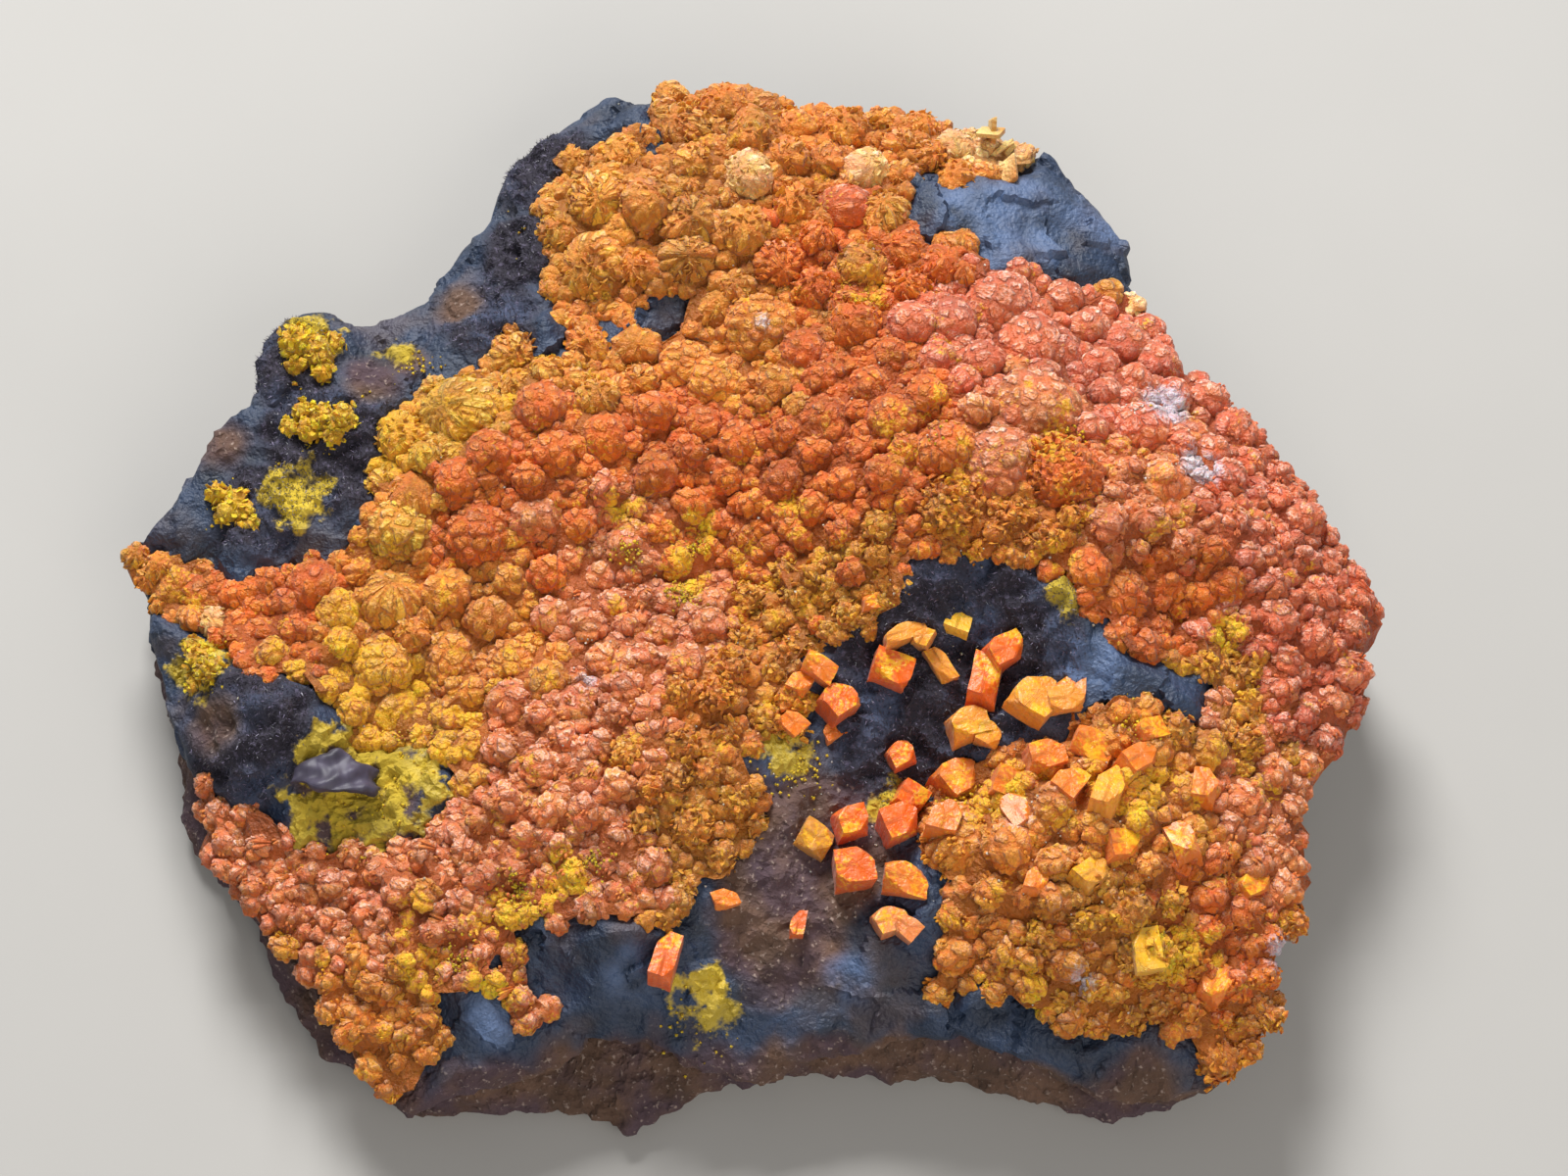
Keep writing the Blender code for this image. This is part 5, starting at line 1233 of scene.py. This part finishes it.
class FRANCEVILLITE_OT_stage(bpy.types.Operator):
    """Sets the pale floor, the soft lights and the camera"""

    bl_idname = "francevillite.stage"
    bl_label = "Stage"

    def execute(self, context):
        settings = context.scene.francevillite_stage
        scene = context.scene
        size = 1.5
        data = bpy.data.meshes.new("floor")
        data.from_pydata([(-size, -size, 0), (size, -size, 0), (size, size, 0), (-size, size, 0)], [], [(0, 1, 2, 3)])
        made, tree, shader = new_material("Backdrop paper, matt", Roughness=0.9)
        where = add_node(tree, "ShaderNodeTexCoord").outputs["Object"]
        fibre = add_node(tree, "ShaderNodeTexNoise", {"Vector": where, "Scale": 60.0, "Detail": 4.0}).outputs[0]
        tone = add_node(tree, "ShaderNodeMapRange", {0: fibre, 1: 0.3, 2: 0.7, 3: 0.97, 4: 1.0}).outputs[0]
        paper = add_node(tree, "ShaderNodeHueSaturation", {"Value": tone, "Color": (*settings.floor_colour, 1.0)})
        tree.links.new(paper.outputs[0], shader.inputs["Base Color"])
        data.materials.append(made)
        floor = bpy.data.objects.new("floor", data)
        scene.collection.objects.link(floor)

        aim = place(*AIM)
        rise = math.radians(CAMERA_ELEVATION)
        camera = bpy.data.cameras.new("camera")
        camera.lens = CAMERA_LENS
        camera.sensor_width = 36.0
        camera.clip_start = 0.01
        camera.clip_end = 10.0
        eye = bpy.data.objects.new("camera", camera)
        eye.location = aim + CAMERA_DISTANCE * MM * Vector((0.0, -math.cos(rise), math.sin(rise)))
        eye.rotation_euler = (aim - eye.location).to_track_quat("-Z", "Y").to_euler()
        scene.collection.objects.link(eye)
        scene.camera = eye

        for name, spot, width, power, colour in (
            ("key", (-0.06, 0.29, 0.26), 0.15, settings.key_power, "FFFFFF"),
            ("fill", (0.12, -0.26, 0.26), 0.30, 0.80, "FFF8F0"),
        ):
            light = bpy.data.lights.new(name, "AREA")
            light.size = width
            light.energy = power
            light.color = linear(colour)
            lamp = bpy.data.objects.new(name, light)
            lamp.location = spot
            lamp.rotation_euler = (aim - Vector(spot)).to_track_quat("-Z", "Y").to_euler()
            scene.collection.objects.link(lamp)
        world = bpy.data.worlds.new("studio")
        world.use_nodes = True
        sky = world.node_tree.nodes["Background"]
        sky.inputs["Color"].default_value = (0.90, 0.94, 1.0, 1.0)
        sky.inputs["Strength"].default_value = 0.27
        scene.world = world
        scene.view_settings.view_transform = "Standard"
        return {"FINISHED"}


# How wide the flat facets of broken goethite are, in millimetres
FACET_SIZE = 2.3


def rock_mesh(settings):
    """The rock, split finer where it shows and given the relief of each kind of surface."""
    mesh = bmesh.new()
    mesh.from_mesh(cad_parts["matrix"].data)
    bmesh.ops.remove_doubles(mesh, verts=mesh.verts, dist=1e-7)
    bmesh.ops.delete(mesh, geom=[v for v in mesh.verts if not v.link_faces], context="VERTS")
    for _ in range(4):
        corners = np.array([v.co for v in mesh.verts])
        fine = fineness(corners)
        mesh.verts.index_update()
        long_edges = [
            e for e in mesh.edges
            if e.calc_length() > 1.45 * min(fine[e.verts[0].index], fine[e.verts[1].index])
        ]
        if not long_edges:
            break
        bmesh.ops.subdivide_edges(mesh, edges=long_edges, cuts=1, use_grid_fill=True)
        bmesh.ops.triangulate(mesh, faces=mesh.faces)
    bmesh.ops.smooth_vert(mesh, verts=mesh.verts, factor=0.5, use_axis_x=True, use_axis_y=True, use_axis_z=True)
    bmesh.ops.smooth_vert(mesh, verts=mesh.verts, factor=0.5, use_axis_x=True, use_axis_y=True, use_axis_z=True)
    mesh.normal_update()
    corners = np.array([v.co for v in mesh.verts])
    earth, velvet = rock_kinds(corners)
    dust = dust_share(corners)
    under = corners[:, 2] < 0.3 * MM
    for vert, e, v, powder, flat in zip(mesh.verts, earth, velvet, dust, under):
        if flat:
            continue
        at = vert.co / MM
        broken = 1.0 - e - v
        push = 0.0
        if broken > 0.01:
            _, spots = noise.voronoi(at / FACET_SIZE)
            tilt = noise.cell_vector(9.7 * spots[0]) - Vector((0.5, 0.5, 0.5))
            plane = tilt.dot(at / FACET_SIZE - spots[0])
            push += broken * settings.fracture_step * (1.7 * plane + 0.18 * noise.noise(at / 0.7))
        if v > 0.01:
            billow = 1.0 - 2.0 * abs(noise.noise(at / 1.3)) + 0.35 * noise.noise(at / 0.4)
            push += v * settings.velvet_swell * billow
        if e > 0.01:
            push += e * settings.earth_relief * noise.fractal(at / 0.9, 0.9, 2.1, 4)
        if powder > 0.01:
            push += powder * settings.dust_relief * (0.5 + noise.fractal(at / 0.45, 0.8, 2.0, 3))
        vert.co += vert.normal * push
    data = bpy.data.meshes.new("rock")
    mesh.to_mesh(data)
    mesh.free()
    # Painted reflection of the sky: a blue veil over the listed places
    bloom = near_places(plan(corners), SKY_REFLECTION_PLACES, 2.0 * (velvet - 0.5))
    for name, values in (("earth", earth), ("velvet", velvet), ("dust", dust), ("bloom", bloom)):
        layer = data.attributes.new(name, "FLOAT", "POINT")
        layer.data.foreach_set("value", values.astype(np.float32))
    return data


def fineness(corners):
    """The longest edge wanted at each point: short in the hollow, long underneath."""
    at = plan(corners)
    height = corners[:, 2] / MM
    bare = patch_clearance(at) < 0.7
    rim = signed_distance(at, RIM) < 1.3
    wanted = np.where(bare, 0.26, np.where(rim, 0.36, 2.5))
    return np.where(height < 1.0, 1.2, wanted) * MM


# Where the rock is velvety, earthy or dusted with yellow, as x, y, reach
VELVET_PLACES = [
    (9.5, -5.0, 6.2), (7.0, -9.5, 3.4), (-20.5, 6.0, 3.6), (-24.0, -8.4, 3.2), (-23.5, 3.0, 2.6),
    (-13.0, 13.0, 2.4), (-11.5, 16.5, 2.2), (-10.0, 21.0, 2.4), (-22.5, 10.5, 2.4),
]
EARTH_PLACES = [
    (2.5, -14.5, 4.2), (1.5, -18.0, 3.2), (-18.6, -11.6, 3.0), (-18.6, 9.6, 1.4), (-17.0, 10.6, 1.0),
    (-14.5, 14.0, 1.1), (-26.0, 6.5, 1.2), (18.5, -25.5, 1.8), (-25.5, -8.0, 1.2),
]
DUSTED_PLACES = [
    (-18.2, -11.4, 3.6), (-16.2, -9.4, 1.6), (1.6, -9.6, 1.2), (-2.0, -21.4, 1.4), (-22.0, 3.6, 1.6),
    (-26.5, -5.0, 1.5), (15.5, -3.0, 1.2), (7.0, -12.4, 1.4), (-21.5, 12.0, 1.2), (-17.5, 11.2, 0.9),
]

# Where a painted reflection of the sky veils the rock in blue, the same way
SKY_REFLECTION_PLACES = [
    (12.5, 17.8, 4.6), (17.0, 18.5, 2.4), (16.6, -6.2, 1.5), (15.2, -5.0, 0.9), (10.6, -3.8, 1.1),
    (-12.2, -22.3, 1.6), (4.6, -20.6, 1.6), (-5.6, -20.4, 1.4), (1.2, -10.6, 0.8),
]


def rock_kinds(corners):
    """Shares of earthy and velvety surface at each point; the rest is broken goethite."""
    at = plan(corners)
    height = corners[:, 2] / MM
    wander = np.array([noise.noise(Vector((x / 1.6, y / 1.6, 5.0))) for x, y in at])
    hollow = near_places(at, VELVET_PLACES, wander)
    slope = near_places(at, EARTH_PLACES, wander)
    below = np.clip((5.2 + 1.2 * wander - height) / 0.9, 0.0, 1.0) * (signed_distance(at, RIM) < 1.5)
    earth = np.clip(np.maximum(slope, below), 0.0, 1.0)
    velvet = np.clip(hollow * (1.0 - earth), 0.0, 1.0)
    return earth, velvet


def dust_share(corners):
    """How thickly yellow powder lies on the rock."""
    at = plan(corners)
    wander = np.array([noise.fractal(Vector((x / 1.1, y / 1.1, 9.0)), 0.8, 2.0, 3) for x, y in at])
    near = near_places(at, [d[:3] for d in DUSTED_PLACES], 1.6 * wander)
    return np.clip(near * (0.75 + 0.9 * wander), 0.0, 1.0)


def near_places(at, places, wander):
    """One inside any of the round places, easing to nothing past their ragged border."""
    best = np.zeros(len(at))
    for x, y, reach in places:
        away = np.hypot(at[:, 0] - x, at[:, 1] - y)
        best = np.maximum(best, np.clip((reach * (1.0 + 0.25 * wander) - away) / 0.9 + 0.5, 0.0, 1.0))
    return best


def rock_material(settings):
    """Goethite, broken, velvety or weathered to earth: blue-black and glossy, or dull and brown."""
    made, tree, shader = new_material("Goethite rock, broken and weathered", IOR=1.6, Specular_IOR_Level=0.4)
    where = add_node(tree, "ShaderNodeTexCoord").outputs["Object"]
    earth = add_node(tree, "ShaderNodeAttribute", attribute_name="earth").outputs["Fac"]
    velvet = add_node(tree, "ShaderNodeAttribute", attribute_name="velvet").outputs["Fac"]
    coarse = add_node(tree, "ShaderNodeTexNoise", {"Vector": where, "Scale": 420.0, "Detail": 5.0}).outputs[0]
    fine = add_node(tree, "ShaderNodeTexNoise", {"Vector": where, "Scale": 4200.0, "Detail": 4.0}).outputs[0]
    blue = add_node(tree, "ShaderNodeMapRange", {0: coarse, 1: 0.3, 2: 0.7, 3: 0.5, 4: 1.8}).outputs[0]
    broken = add_node(tree, "ShaderNodeHueSaturation", {"Value": blue, "Color": (*settings.blue, 1.0)}).outputs[0]
    rust = add_node(tree, "ShaderNodeTexNoise", {"Vector": where, "Scale": 260.0, "Detail": 6.0}).outputs[0]
    rusty = add_node(tree, "ShaderNodeMapRange", {0: rust, 1: 0.52, 2: 0.66, 3: 0.0, 4: 0.35}).outputs[0]
    broken = add_node(tree, "ShaderNodeMix", {0: rusty, 6: broken, 7: (*settings.brown, 1.0)}, data_type="RGBA").outputs[2]
    # Needle tips of 0.2 mm catch the light as pale grains on the velvet
    tips = add_node(tree, "ShaderNodeMapRange", {0: fine, 1: 0.55, 2: 0.72, 3: 0.75, 4: 3.2}).outputs[0]
    soft = add_node(tree, "ShaderNodeHueSaturation", {"Value": tips, "Color": (*settings.black, 1.0)}).outputs[0]
    mottle = add_node(tree, "ShaderNodeMapRange", {0: coarse, 1: 0.3, 2: 0.7, 3: 0.6, 4: 1.3}).outputs[0]
    brown = add_node(tree, "ShaderNodeHueSaturation", {"Value": mottle, "Color": (*settings.brown, 1.0)}).outputs[0]
    # The earth is mottled with purple-grey and set with pale specks of 0.15 mm
    purple = add_node(tree, "ShaderNodeMapRange", {0: rust, 1: 0.44, 2: 0.58, 3: 0.75, 4: 0.0}).outputs[0]
    brown = add_node(tree, "ShaderNodeMix", {0: purple, 6: brown, 7: (*settings.purple, 1.0)}, data_type="RGBA").outputs[2]
    pale = add_node(tree, "ShaderNodeMapRange", {0: fine, 1: 0.60, 2: 0.70, 3: 0.0, 4: 0.55}).outputs[0]
    brown = add_node(tree, "ShaderNodeMix", {0: pale, 6: brown, 7: (*settings.speck, 1.0)}, data_type="RGBA").outputs[2]
    # A bluish bloom of 3 mm patches lies on the velvet
    bloom = add_node(tree, "ShaderNodeMapRange", {0: rust, 1: 0.50, 2: 0.68, 3: 0.0, 4: 0.3}).outputs[0]
    soft = add_node(tree, "ShaderNodeMix", {0: bloom, 6: soft, 7: (*settings.bloom, 1.0)}, data_type="RGBA").outputs[2]
    # Over that, a painted reflection of the sky lays the same blue on the rock where it faced the light, in cloudy
    # patches
    haze = add_node(tree, "ShaderNodeAttribute", attribute_name="bloom").outputs["Fac"]
    cloud = add_node(tree, "ShaderNodeMapRange", {0: coarse, 1: 0.38, 2: 0.62, 3: 0.05, 4: 0.65}).outputs[0]
    veil = add_node(tree, "ShaderNodeMath", {0: haze, 1: cloud}, operation="MULTIPLY").outputs[0]
    first = add_node(tree, "ShaderNodeMix", {0: velvet, 6: broken, 7: soft}, data_type="RGBA").outputs[2]
    second = add_node(tree, "ShaderNodeMix", {0: earth, 6: first, 7: brown}, data_type="RGBA").outputs[2]
    second = add_node(tree, "ShaderNodeMix", {0: veil, 6: second, 7: (*settings.bloom, 1.0)}, data_type="RGBA").outputs[2]
    # Yellow powder lies in thin broken films, thicker where the fine grain is high
    dust = add_node(tree, "ShaderNodeAttribute", attribute_name="dust").outputs["Fac"]
    heaped = add_node(tree, "ShaderNodeMath", {0: dust, 1: fine}, operation="ADD").outputs[0]
    film = add_node(tree, "ShaderNodeMapRange", {0: heaped, 1: 0.75, 2: 1.15, 3: 0.0, 4: 0.9}).outputs[0]
    sulphur = add_node(
        tree, "ShaderNodeHueSaturation", {"Value": mottle, "Color": (*settings.dust, 1.0)}
    ).outputs[0]
    dusted = add_node(tree, "ShaderNodeMix", {0: film, 6: second, 7: sulphur}, data_type="RGBA").outputs[2]
    tree.links.new(dusted, shader.inputs["Base Color"])
    dull = add_node(tree, "ShaderNodeMath", {0: earth, 1: velvet}, operation="MAXIMUM").outputs[0]
    gloss = add_node(tree, "ShaderNodeMapRange", {0: dull, 3: 0.55, 4: 0.95}).outputs[0]
    tree.links.new(gloss, shader.inputs["Roughness"])
    relief = add_node(tree, "ShaderNodeMath", {0: coarse, 1: fine}, operation="ADD").outputs[0]
    bump = add_node(tree, "ShaderNodeBump", {"Strength": 0.9, "Distance": 0.0002, "Height": relief})
    tree.links.new(bump.outputs[0], shader.inputs["Normal"])
    return made


class FRANCEVILLITE_OT_rock(bpy.types.Operator):
    """Refines the rock and gives it its broken, velvety and earthy surfaces"""

    bl_idname = "francevillite.rock"
    bl_label = "Rock"

    def execute(self, context):
        settings = context.scene.francevillite_rock
        data = rock_mesh(settings)
        data.materials.clear()
        data.materials.append(rock_material(settings))
        settle("rock", data, "goethite", "matrix")
        return {"FINISHED"}


def velvet_points(data, settings):
    """Points over the velvety rock, with needles that lean away from the surface every way."""
    draw = random.Random(31)
    found = Points()
    velvet = np.array([layer.value for layer in data.attributes["velvet"].data])
    corners = np.array([v.co for v in data.vertices])
    triangles = np.array([f.vertices for f in data.polygons])
    share = velvet[triangles].mean(axis=1)
    centres = corners[triangles].mean(axis=1)
    open_rock = (share > 0.5) & (centres[:, 2] > 4.0 * MM) & (patch_clearance(plan(centres)) < 0.4)
    for index in np.flatnonzero(open_rock):
        face = data.polygons[index]
        wanted = share[index] * face.area / settings.needle_spacing ** 2
        one, two, three = corners[triangles[index]]
        for _ in range(int(wanted + draw.random())):
            a, b = sorted((draw.random(), draw.random()))
            spot = a * one + (b - a) * two + (1.0 - b) * three
            aim = np.array(face.normal) + np.array([draw.gauss(0.0, 0.7) for _ in range(3)])
            long = settings.needle_length * draw.uniform(0.5, 1.3)
            wide = 0.28 * settings.needle_length * draw.uniform(0.6, 1.2)
            # About one needle in five is painted three to eight times paler: painted glints
            pale = draw.uniform(0.6, 1.8) if draw.random() < 0.78 else draw.uniform(3.0, 8.0)
            tint = np.clip(pale * np.array(list(settings.black)), 0.0, 1.0)
            found.add(spot, aim, draw.uniform(0.0, 6.28), (wide, wide, long), tint, 0.0)
    return found


def needle_material():
    """Goethite needles: dark, with pale tips that sparkle like salt and pepper."""
    made, tree, shader = new_material("Goethite needles", Roughness=0.45, IOR=1.6)
    tint = add_node(tree, "ShaderNodeAttribute", attribute_name="tint").outputs["Color"]
    tree.links.new(tint, shader.inputs["Base Color"])
    return made


class FRANCEVILLITE_OT_needles(bpy.types.Operator):
    """Covers the velvety rock with short needles"""

    bl_idname = "francevillite.needles"
    bl_label = "Needles on the rock"

    def execute(self, context):
        settings = context.scene.francevillite_rock
        shape = grain_shape()
        points = velvet_points(bpy.data.objects["rock"].data, settings)
        mesh = grown_mesh(points, shape, needle_material(), 31)
        settle("needles", mesh, "goethite")
        bpy.data.objects.remove(shape)
        return {"FINISHED"}


# Crystals in the hollow that aren't red-orange
CRYSTAL_TINTS = {
    "yellow_plate": "yellow", "square_plate": "amber", "golden_group": "amber", "dome_wreath": "amber",
    "fan_crystal": "ochre", "low_block": "orange", "low_group": "salmon", "slab_crystal": "orange",
}


def block_surface(steps=6):
    """A cube's surface as a grid of quads with shared edges, from minus one to one."""
    mesh = bmesh.new()
    bmesh.ops.create_cube(mesh, size=2.0)
    bmesh.ops.subdivide_edges(mesh, edges=mesh.edges, cuts=steps, use_grid_fill=True)
    return mesh


def striated_block(mesh, length, width, height, way, draw):
    """A stout tabular crystal: crisp edges, cut corners, and faint growth ridges along its sides."""
    part = block_surface()
    flare = draw.uniform(-0.06, 0.14)
    skew = draw.uniform(-0.14, 0.14)
    ridges = draw.uniform(7.0, 10.0)
    phase = draw.uniform(0.0, 6.28)
    cuts = []
    for _ in range(3):
        corner = Vector([draw.choice((-1.0, 1.0)) for _ in range(2)] + [draw.uniform(0.4, 1.2)]).normalized()
        cuts.append((corner, draw.uniform(1.12, 1.38)))
    local = []
    for vert in part.verts:
        local.append(tuple(vert.co))
        at = vert.co.copy()
        for corner, reach in cuts:
            at -= corner * max(0.0, corner.dot(at) - reach)
        x, y, z = at
        ridge = 0.012 * math.sin(ridges * y + phase) if abs(x) > 0.98 else 0.0
        bulge = 1.0 + flare * z
        rough = 0.05 * noise.noise(Vector((1.3 * x + phase, 1.3 * y, 1.3 * z)))
        vert.co = Vector((
            0.5 * length * (x * bulge + skew * y + ridge + rough),
            0.5 * width * (y * bulge + rough),
            0.5 * height * (z + 0.10 * skew * x + rough),
        ))
    part.normal_update()
    for edge in part.edges:
        edge.smooth = edge.calc_face_angle(0.0) < 0.45
    part.transform(way)
    data = bpy.data.meshes.new("block")
    part.to_mesh(data)
    part.free()
    mesh.from_mesh(data)
    bpy.data.meshes.remove(data)
    return local


def crystal_mesh(name, crystals, tints, finish, settings, ground, seat):
    """Stout crystals as x, y, length, width, height, turn and lean, set on the ground."""
    draw = random.Random(sum(map(ord, name)))
    mesh = bmesh.new()
    local = []
    tint = []
    for (x, y, length, width, height, turn, lean), colour in zip(crystals, tints):
        hit, _ = drop(ground, x, y)
        way = (
            Matrix.Translation(hit + Vector((0.0, 0.0, seat * height * MM)))
            @ Matrix.Rotation(math.radians(turn), 4, "Z")
            @ Matrix.Rotation(math.radians(lean), 4, "Y")
        )
        corners = striated_block(mesh, 0.94 * length * MM, 0.94 * width * MM, 1.2 * height * MM, way, draw)
        local += corners
        shade = np.array(list(getattr(settings, colour))) * draw.uniform(0.92, 1.08)
        tint += [shade] * len(corners)
    data = bpy.data.meshes.new(name)
    mesh.to_mesh(data)
    mesh.free()
    local = np.array(local)
    for key, kind, field, values in (
        ("tint", "FLOAT_VECTOR", "vector", np.clip(tint, 0.0, 1.0)),
        ("grain", "FLOAT_VECTOR", "vector", face_fibres(local)),
        # The lower a corner sits on its crystal, the more painted shade the material gives it
        ("height", "FLOAT", "value", np.clip(0.50 + 0.20 * local[:, 2], 0.0, 1.0)),
        # A faint painted highlight over each crystal
        ("outer", "FLOAT", "value", np.full(len(local), 0.1)),
        ("powder", "FLOAT", "value", 0.10 + 0.45 * np.clip(local[:, 2], -0.3, 1.0)),
    ):
        layer = data.attributes.new(key, kind, "POINT")
        layer.data.foreach_set(field, np.asarray(values, dtype=np.float32).ravel())
    data.materials.append(finish)
    return data


def face_fibres(local):
    """Fibres that fan out over a crystal's top and run up its sides."""
    x, y, z = local.T
    top = np.abs(z) > 0.98
    around = np.where(top, 2.6 * np.arctan2(y, x), 4.5 * (x + y))
    out = np.where(top, 0.8 * np.hypot(x, y), 0.8 * z)
    return np.column_stack([around, out, 3.0 * top])


def crystal_material(settings):
    """Francevillite, single crystals: glossy and lit through, redder than the druse."""
    made = francevillite_material(settings, "Francevillite, tabular crystals")
    shader = made.node_tree.nodes["Principled BSDF"]
    shader.inputs["Roughness"].default_value = 0.38
    shader.inputs["Subsurface Weight"].default_value = 0.35
    shader.inputs["Coat Weight"].default_value = 0.10
    shader.inputs["Coat Roughness"].default_value = 0.15
    nodes = made.node_tree.nodes
    nodes["Relief"].inputs["Distance"].default_value = 0.00005
    nodes["Tone"].inputs[3].default_value = 0.9
    nodes["Tone"].inputs[4].default_value = 1.12
    return made


class FRANCEVILLITE_OT_hollow_crystals(bpy.types.Operator):
    """Builds the single crystals in the hollow and down the brown slope"""

    bl_idname = "francevillite.hollow_crystals"
    bl_label = "Hollow crystals"

    def execute(self, context):
        settings = context.scene.francevillite_druse
        finish = crystal_material(settings)
        for name, crystals in HOLLOW_CRYSTALS.items():
            tints = [CRYSTAL_TINTS.get(name, "crystal")] * len(crystals)
            data = crystal_mesh(name, crystals, tints, finish, settings, ROCK_TREE, 0.36)
            settle(name + "_grown", data, "crystal", name)
        crystals = [row[:7] for row in EMBEDDED_CRYSTALS]
        tints = [row[7] for row in EMBEDDED_CRYSTALS]
        data = crystal_mesh("embedded", crystals, tints, finish, settings, GROUND_TREE, -0.22)
        settle("embedded_crystals", data, "crystal", "francevillite_crust")
        return {"FINISHED"}


class FRANCEVILLITE_OT_yellow(bpy.types.Operator):
    """Grows the yellow groups on the flank and sprinkles loose grains"""

    bl_idname = "francevillite.yellow"
    bl_label = "Yellow groups and grains"

    def execute(self, context):
        settings = context.scene.francevillite_druse
        finish = bpy.data.materials["Francevillite, grown"]
        chip = fragment_shape()
        draw = random.Random(settings.seed + 3)
        for name, balls in YELLOW_CLUSTERS.items():
            points = Points()
            lumps = []
            for x, y, radius in balls:
                hit, _ = drop(ROCK_TREE, x, y)
                middle = hit + Vector((0.0, 0.0, 0.25 * MM))
                lumps.append(Lump(x, y, radius, middle, "crumble", "powder", 0.2))
            skin = Skin()
            for lump in lumps:
                near = [o for o in lumps if o is not lump]
                add_lump(skin, lump, near, settings, draw)
                points.extend(crystals_on_lump(lump, near, settings, draw))
            settle(name + "_body", skin.mesh(name, finish), "yellow_powder", name)
            mesh = grown_mesh(points, chip, finish, settings.seed)
            settle(name + "_grains", mesh, "yellow_powder", name)
        for name, table, tint, reach in (
            ("yellow_grains", YELLOW_SPRINKLES, settings.powder, 0.19),
            ("white_crumbs", WHITE_SPRINKLES, (0.8, 0.78, 0.72), 0.14),
        ):
            points = Points()
            for x, y, spread, count in table:
                for _ in range(count):
                    px = x + draw.gauss(0.0, 0.5 * spread)
                    py = y + draw.gauss(0.0, 0.5 * spread)
                    hit, up = drop(GROUND_TREE, px, py)
                    if hit is None:
                        continue
                    size = reach * MM * draw.uniform(0.4, 1.2)
                    aim = np.array(up) + np.array([draw.gauss(0.0, 0.5) for _ in range(3)])
                    points.add(hit, aim, draw.uniform(0.0, 6.28), (size, size, 0.7 * size), tint, 0.0)
            mesh = grown_mesh(points, chip, finish, settings.seed)
            settle(name, mesh, "yellow_powder")
        bpy.data.objects.remove(chip)
        return {"FINISHED"}


class FRANCEVILLITE_OT_flake(bpy.types.Operator):
    """Builds the loose dark flake with its curved growth ridges"""

    bl_idname = "francevillite.flake"
    bl_label = "Dark flake"

    def execute(self, context):
        settings = context.scene.francevillite_rock
        mesh = bmesh.new()
        mesh.from_mesh(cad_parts["dark_flake"].data)
        bmesh.ops.remove_doubles(mesh, verts=mesh.verts, dist=1e-7)
        for _ in range(3):
            bmesh.ops.subdivide_edges(mesh, edges=mesh.edges, cuts=1, use_grid_fill=True)
            bmesh.ops.triangulate(mesh, faces=mesh.faces)
            bmesh.ops.smooth_vert(mesh, verts=mesh.verts, factor=0.5, use_axis_x=True, use_axis_y=True, use_axis_z=True)
        mesh.normal_update()
        for vert in mesh.verts:
            at = vert.co / MM
            ridge = math.sin(5.0 * (at.y + 0.25 * at.x * at.x / 20.0) + 2.0 * noise.noise(at / 2.0))
            vert.co += vert.normal * MM * (0.09 * ridge + 0.10 * noise.noise(at / 0.5))
        data = bpy.data.meshes.new("flake")
        mesh.to_mesh(data)
        mesh.free()
        made, tree, shader = new_material("Goethite flake, purple-black", Roughness=0.52, IOR=1.5, Specular_IOR_Level=0.4)
        where = add_node(tree, "ShaderNodeTexCoord").outputs["Object"]
        cloud = add_node(tree, "ShaderNodeTexNoise", {"Vector": where, "Scale": 900.0, "Detail": 4.0}).outputs[0]
        tone = add_node(tree, "ShaderNodeMapRange", {0: cloud, 1: 0.3, 2: 0.7, 3: 0.8, 4: 2.6}).outputs[0]
        body = add_node(tree, "ShaderNodeHueSaturation", {"Value": tone, "Color": (*settings.black, 1.0)})
        tree.links.new(body.outputs[0], shader.inputs["Base Color"])
        data.materials.clear()
        data.materials.append(made)
        settle("flake", data, "dark_flake", "dark_flake")
        return {"FINISHED"}


class FRANCEVILLITE_PT_panel(bpy.types.Panel):
    bl_label = "Francevillite on matrix"
    bl_idname = "FRANCEVILLITE_PT_panel"
    bl_space_type = "VIEW_3D"
    bl_region_type = "UI"
    bl_category = "Francevillite"

    def draw(self, context):
        for operator in OPERATORS:
            self.layout.operator(operator.bl_idname)
        for key in SETTINGS:
            box = self.layout.box()
            group = getattr(context.scene, key)
            for name in group.bl_rna.properties.keys():
                if name not in ("rna_type", "name"):
                    box.prop(group, name)


OPERATORS = (
    FRANCEVILLITE_OT_stage, FRANCEVILLITE_OT_rock, FRANCEVILLITE_OT_needles,
    FRANCEVILLITE_OT_druse, FRANCEVILLITE_OT_crystals, FRANCEVILLITE_OT_hollow_crystals,
    FRANCEVILLITE_OT_yellow, FRANCEVILLITE_OT_flake,
)
SETTINGS = {
    "francevillite_druse": DruseSettings,
    "francevillite_rock": RockSettings,
    "francevillite_stage": StageSettings,
}


def register():
    for group in SETTINGS.values():
        bpy.utils.register_class(group)
    for operator in OPERATORS:
        bpy.utils.register_class(operator)
    bpy.utils.register_class(FRANCEVILLITE_PT_panel)
    for key, group in SETTINGS.items():
        setattr(bpy.types.Scene, key, bpy.props.PointerProperty(type=group))


def unregister():
    for key in SETTINGS:
        delattr(bpy.types.Scene, key)
    bpy.utils.unregister_class(FRANCEVILLITE_PT_panel)
    for operator in reversed(OPERATORS):
        bpy.utils.unregister_class(operator)
    for group in SETTINGS.values():
        bpy.utils.unregister_class(group)


def main():
    register()
    bpy.ops.francevillite.stage()
    bpy.ops.francevillite.rock()
    bpy.ops.francevillite.needles()
    bpy.ops.francevillite.druse()
    bpy.ops.francevillite.crystals()
    bpy.ops.francevillite.hollow_crystals()
    bpy.ops.francevillite.yellow()
    bpy.ops.francevillite.flake()


if __name__ == "__main__":
    main()
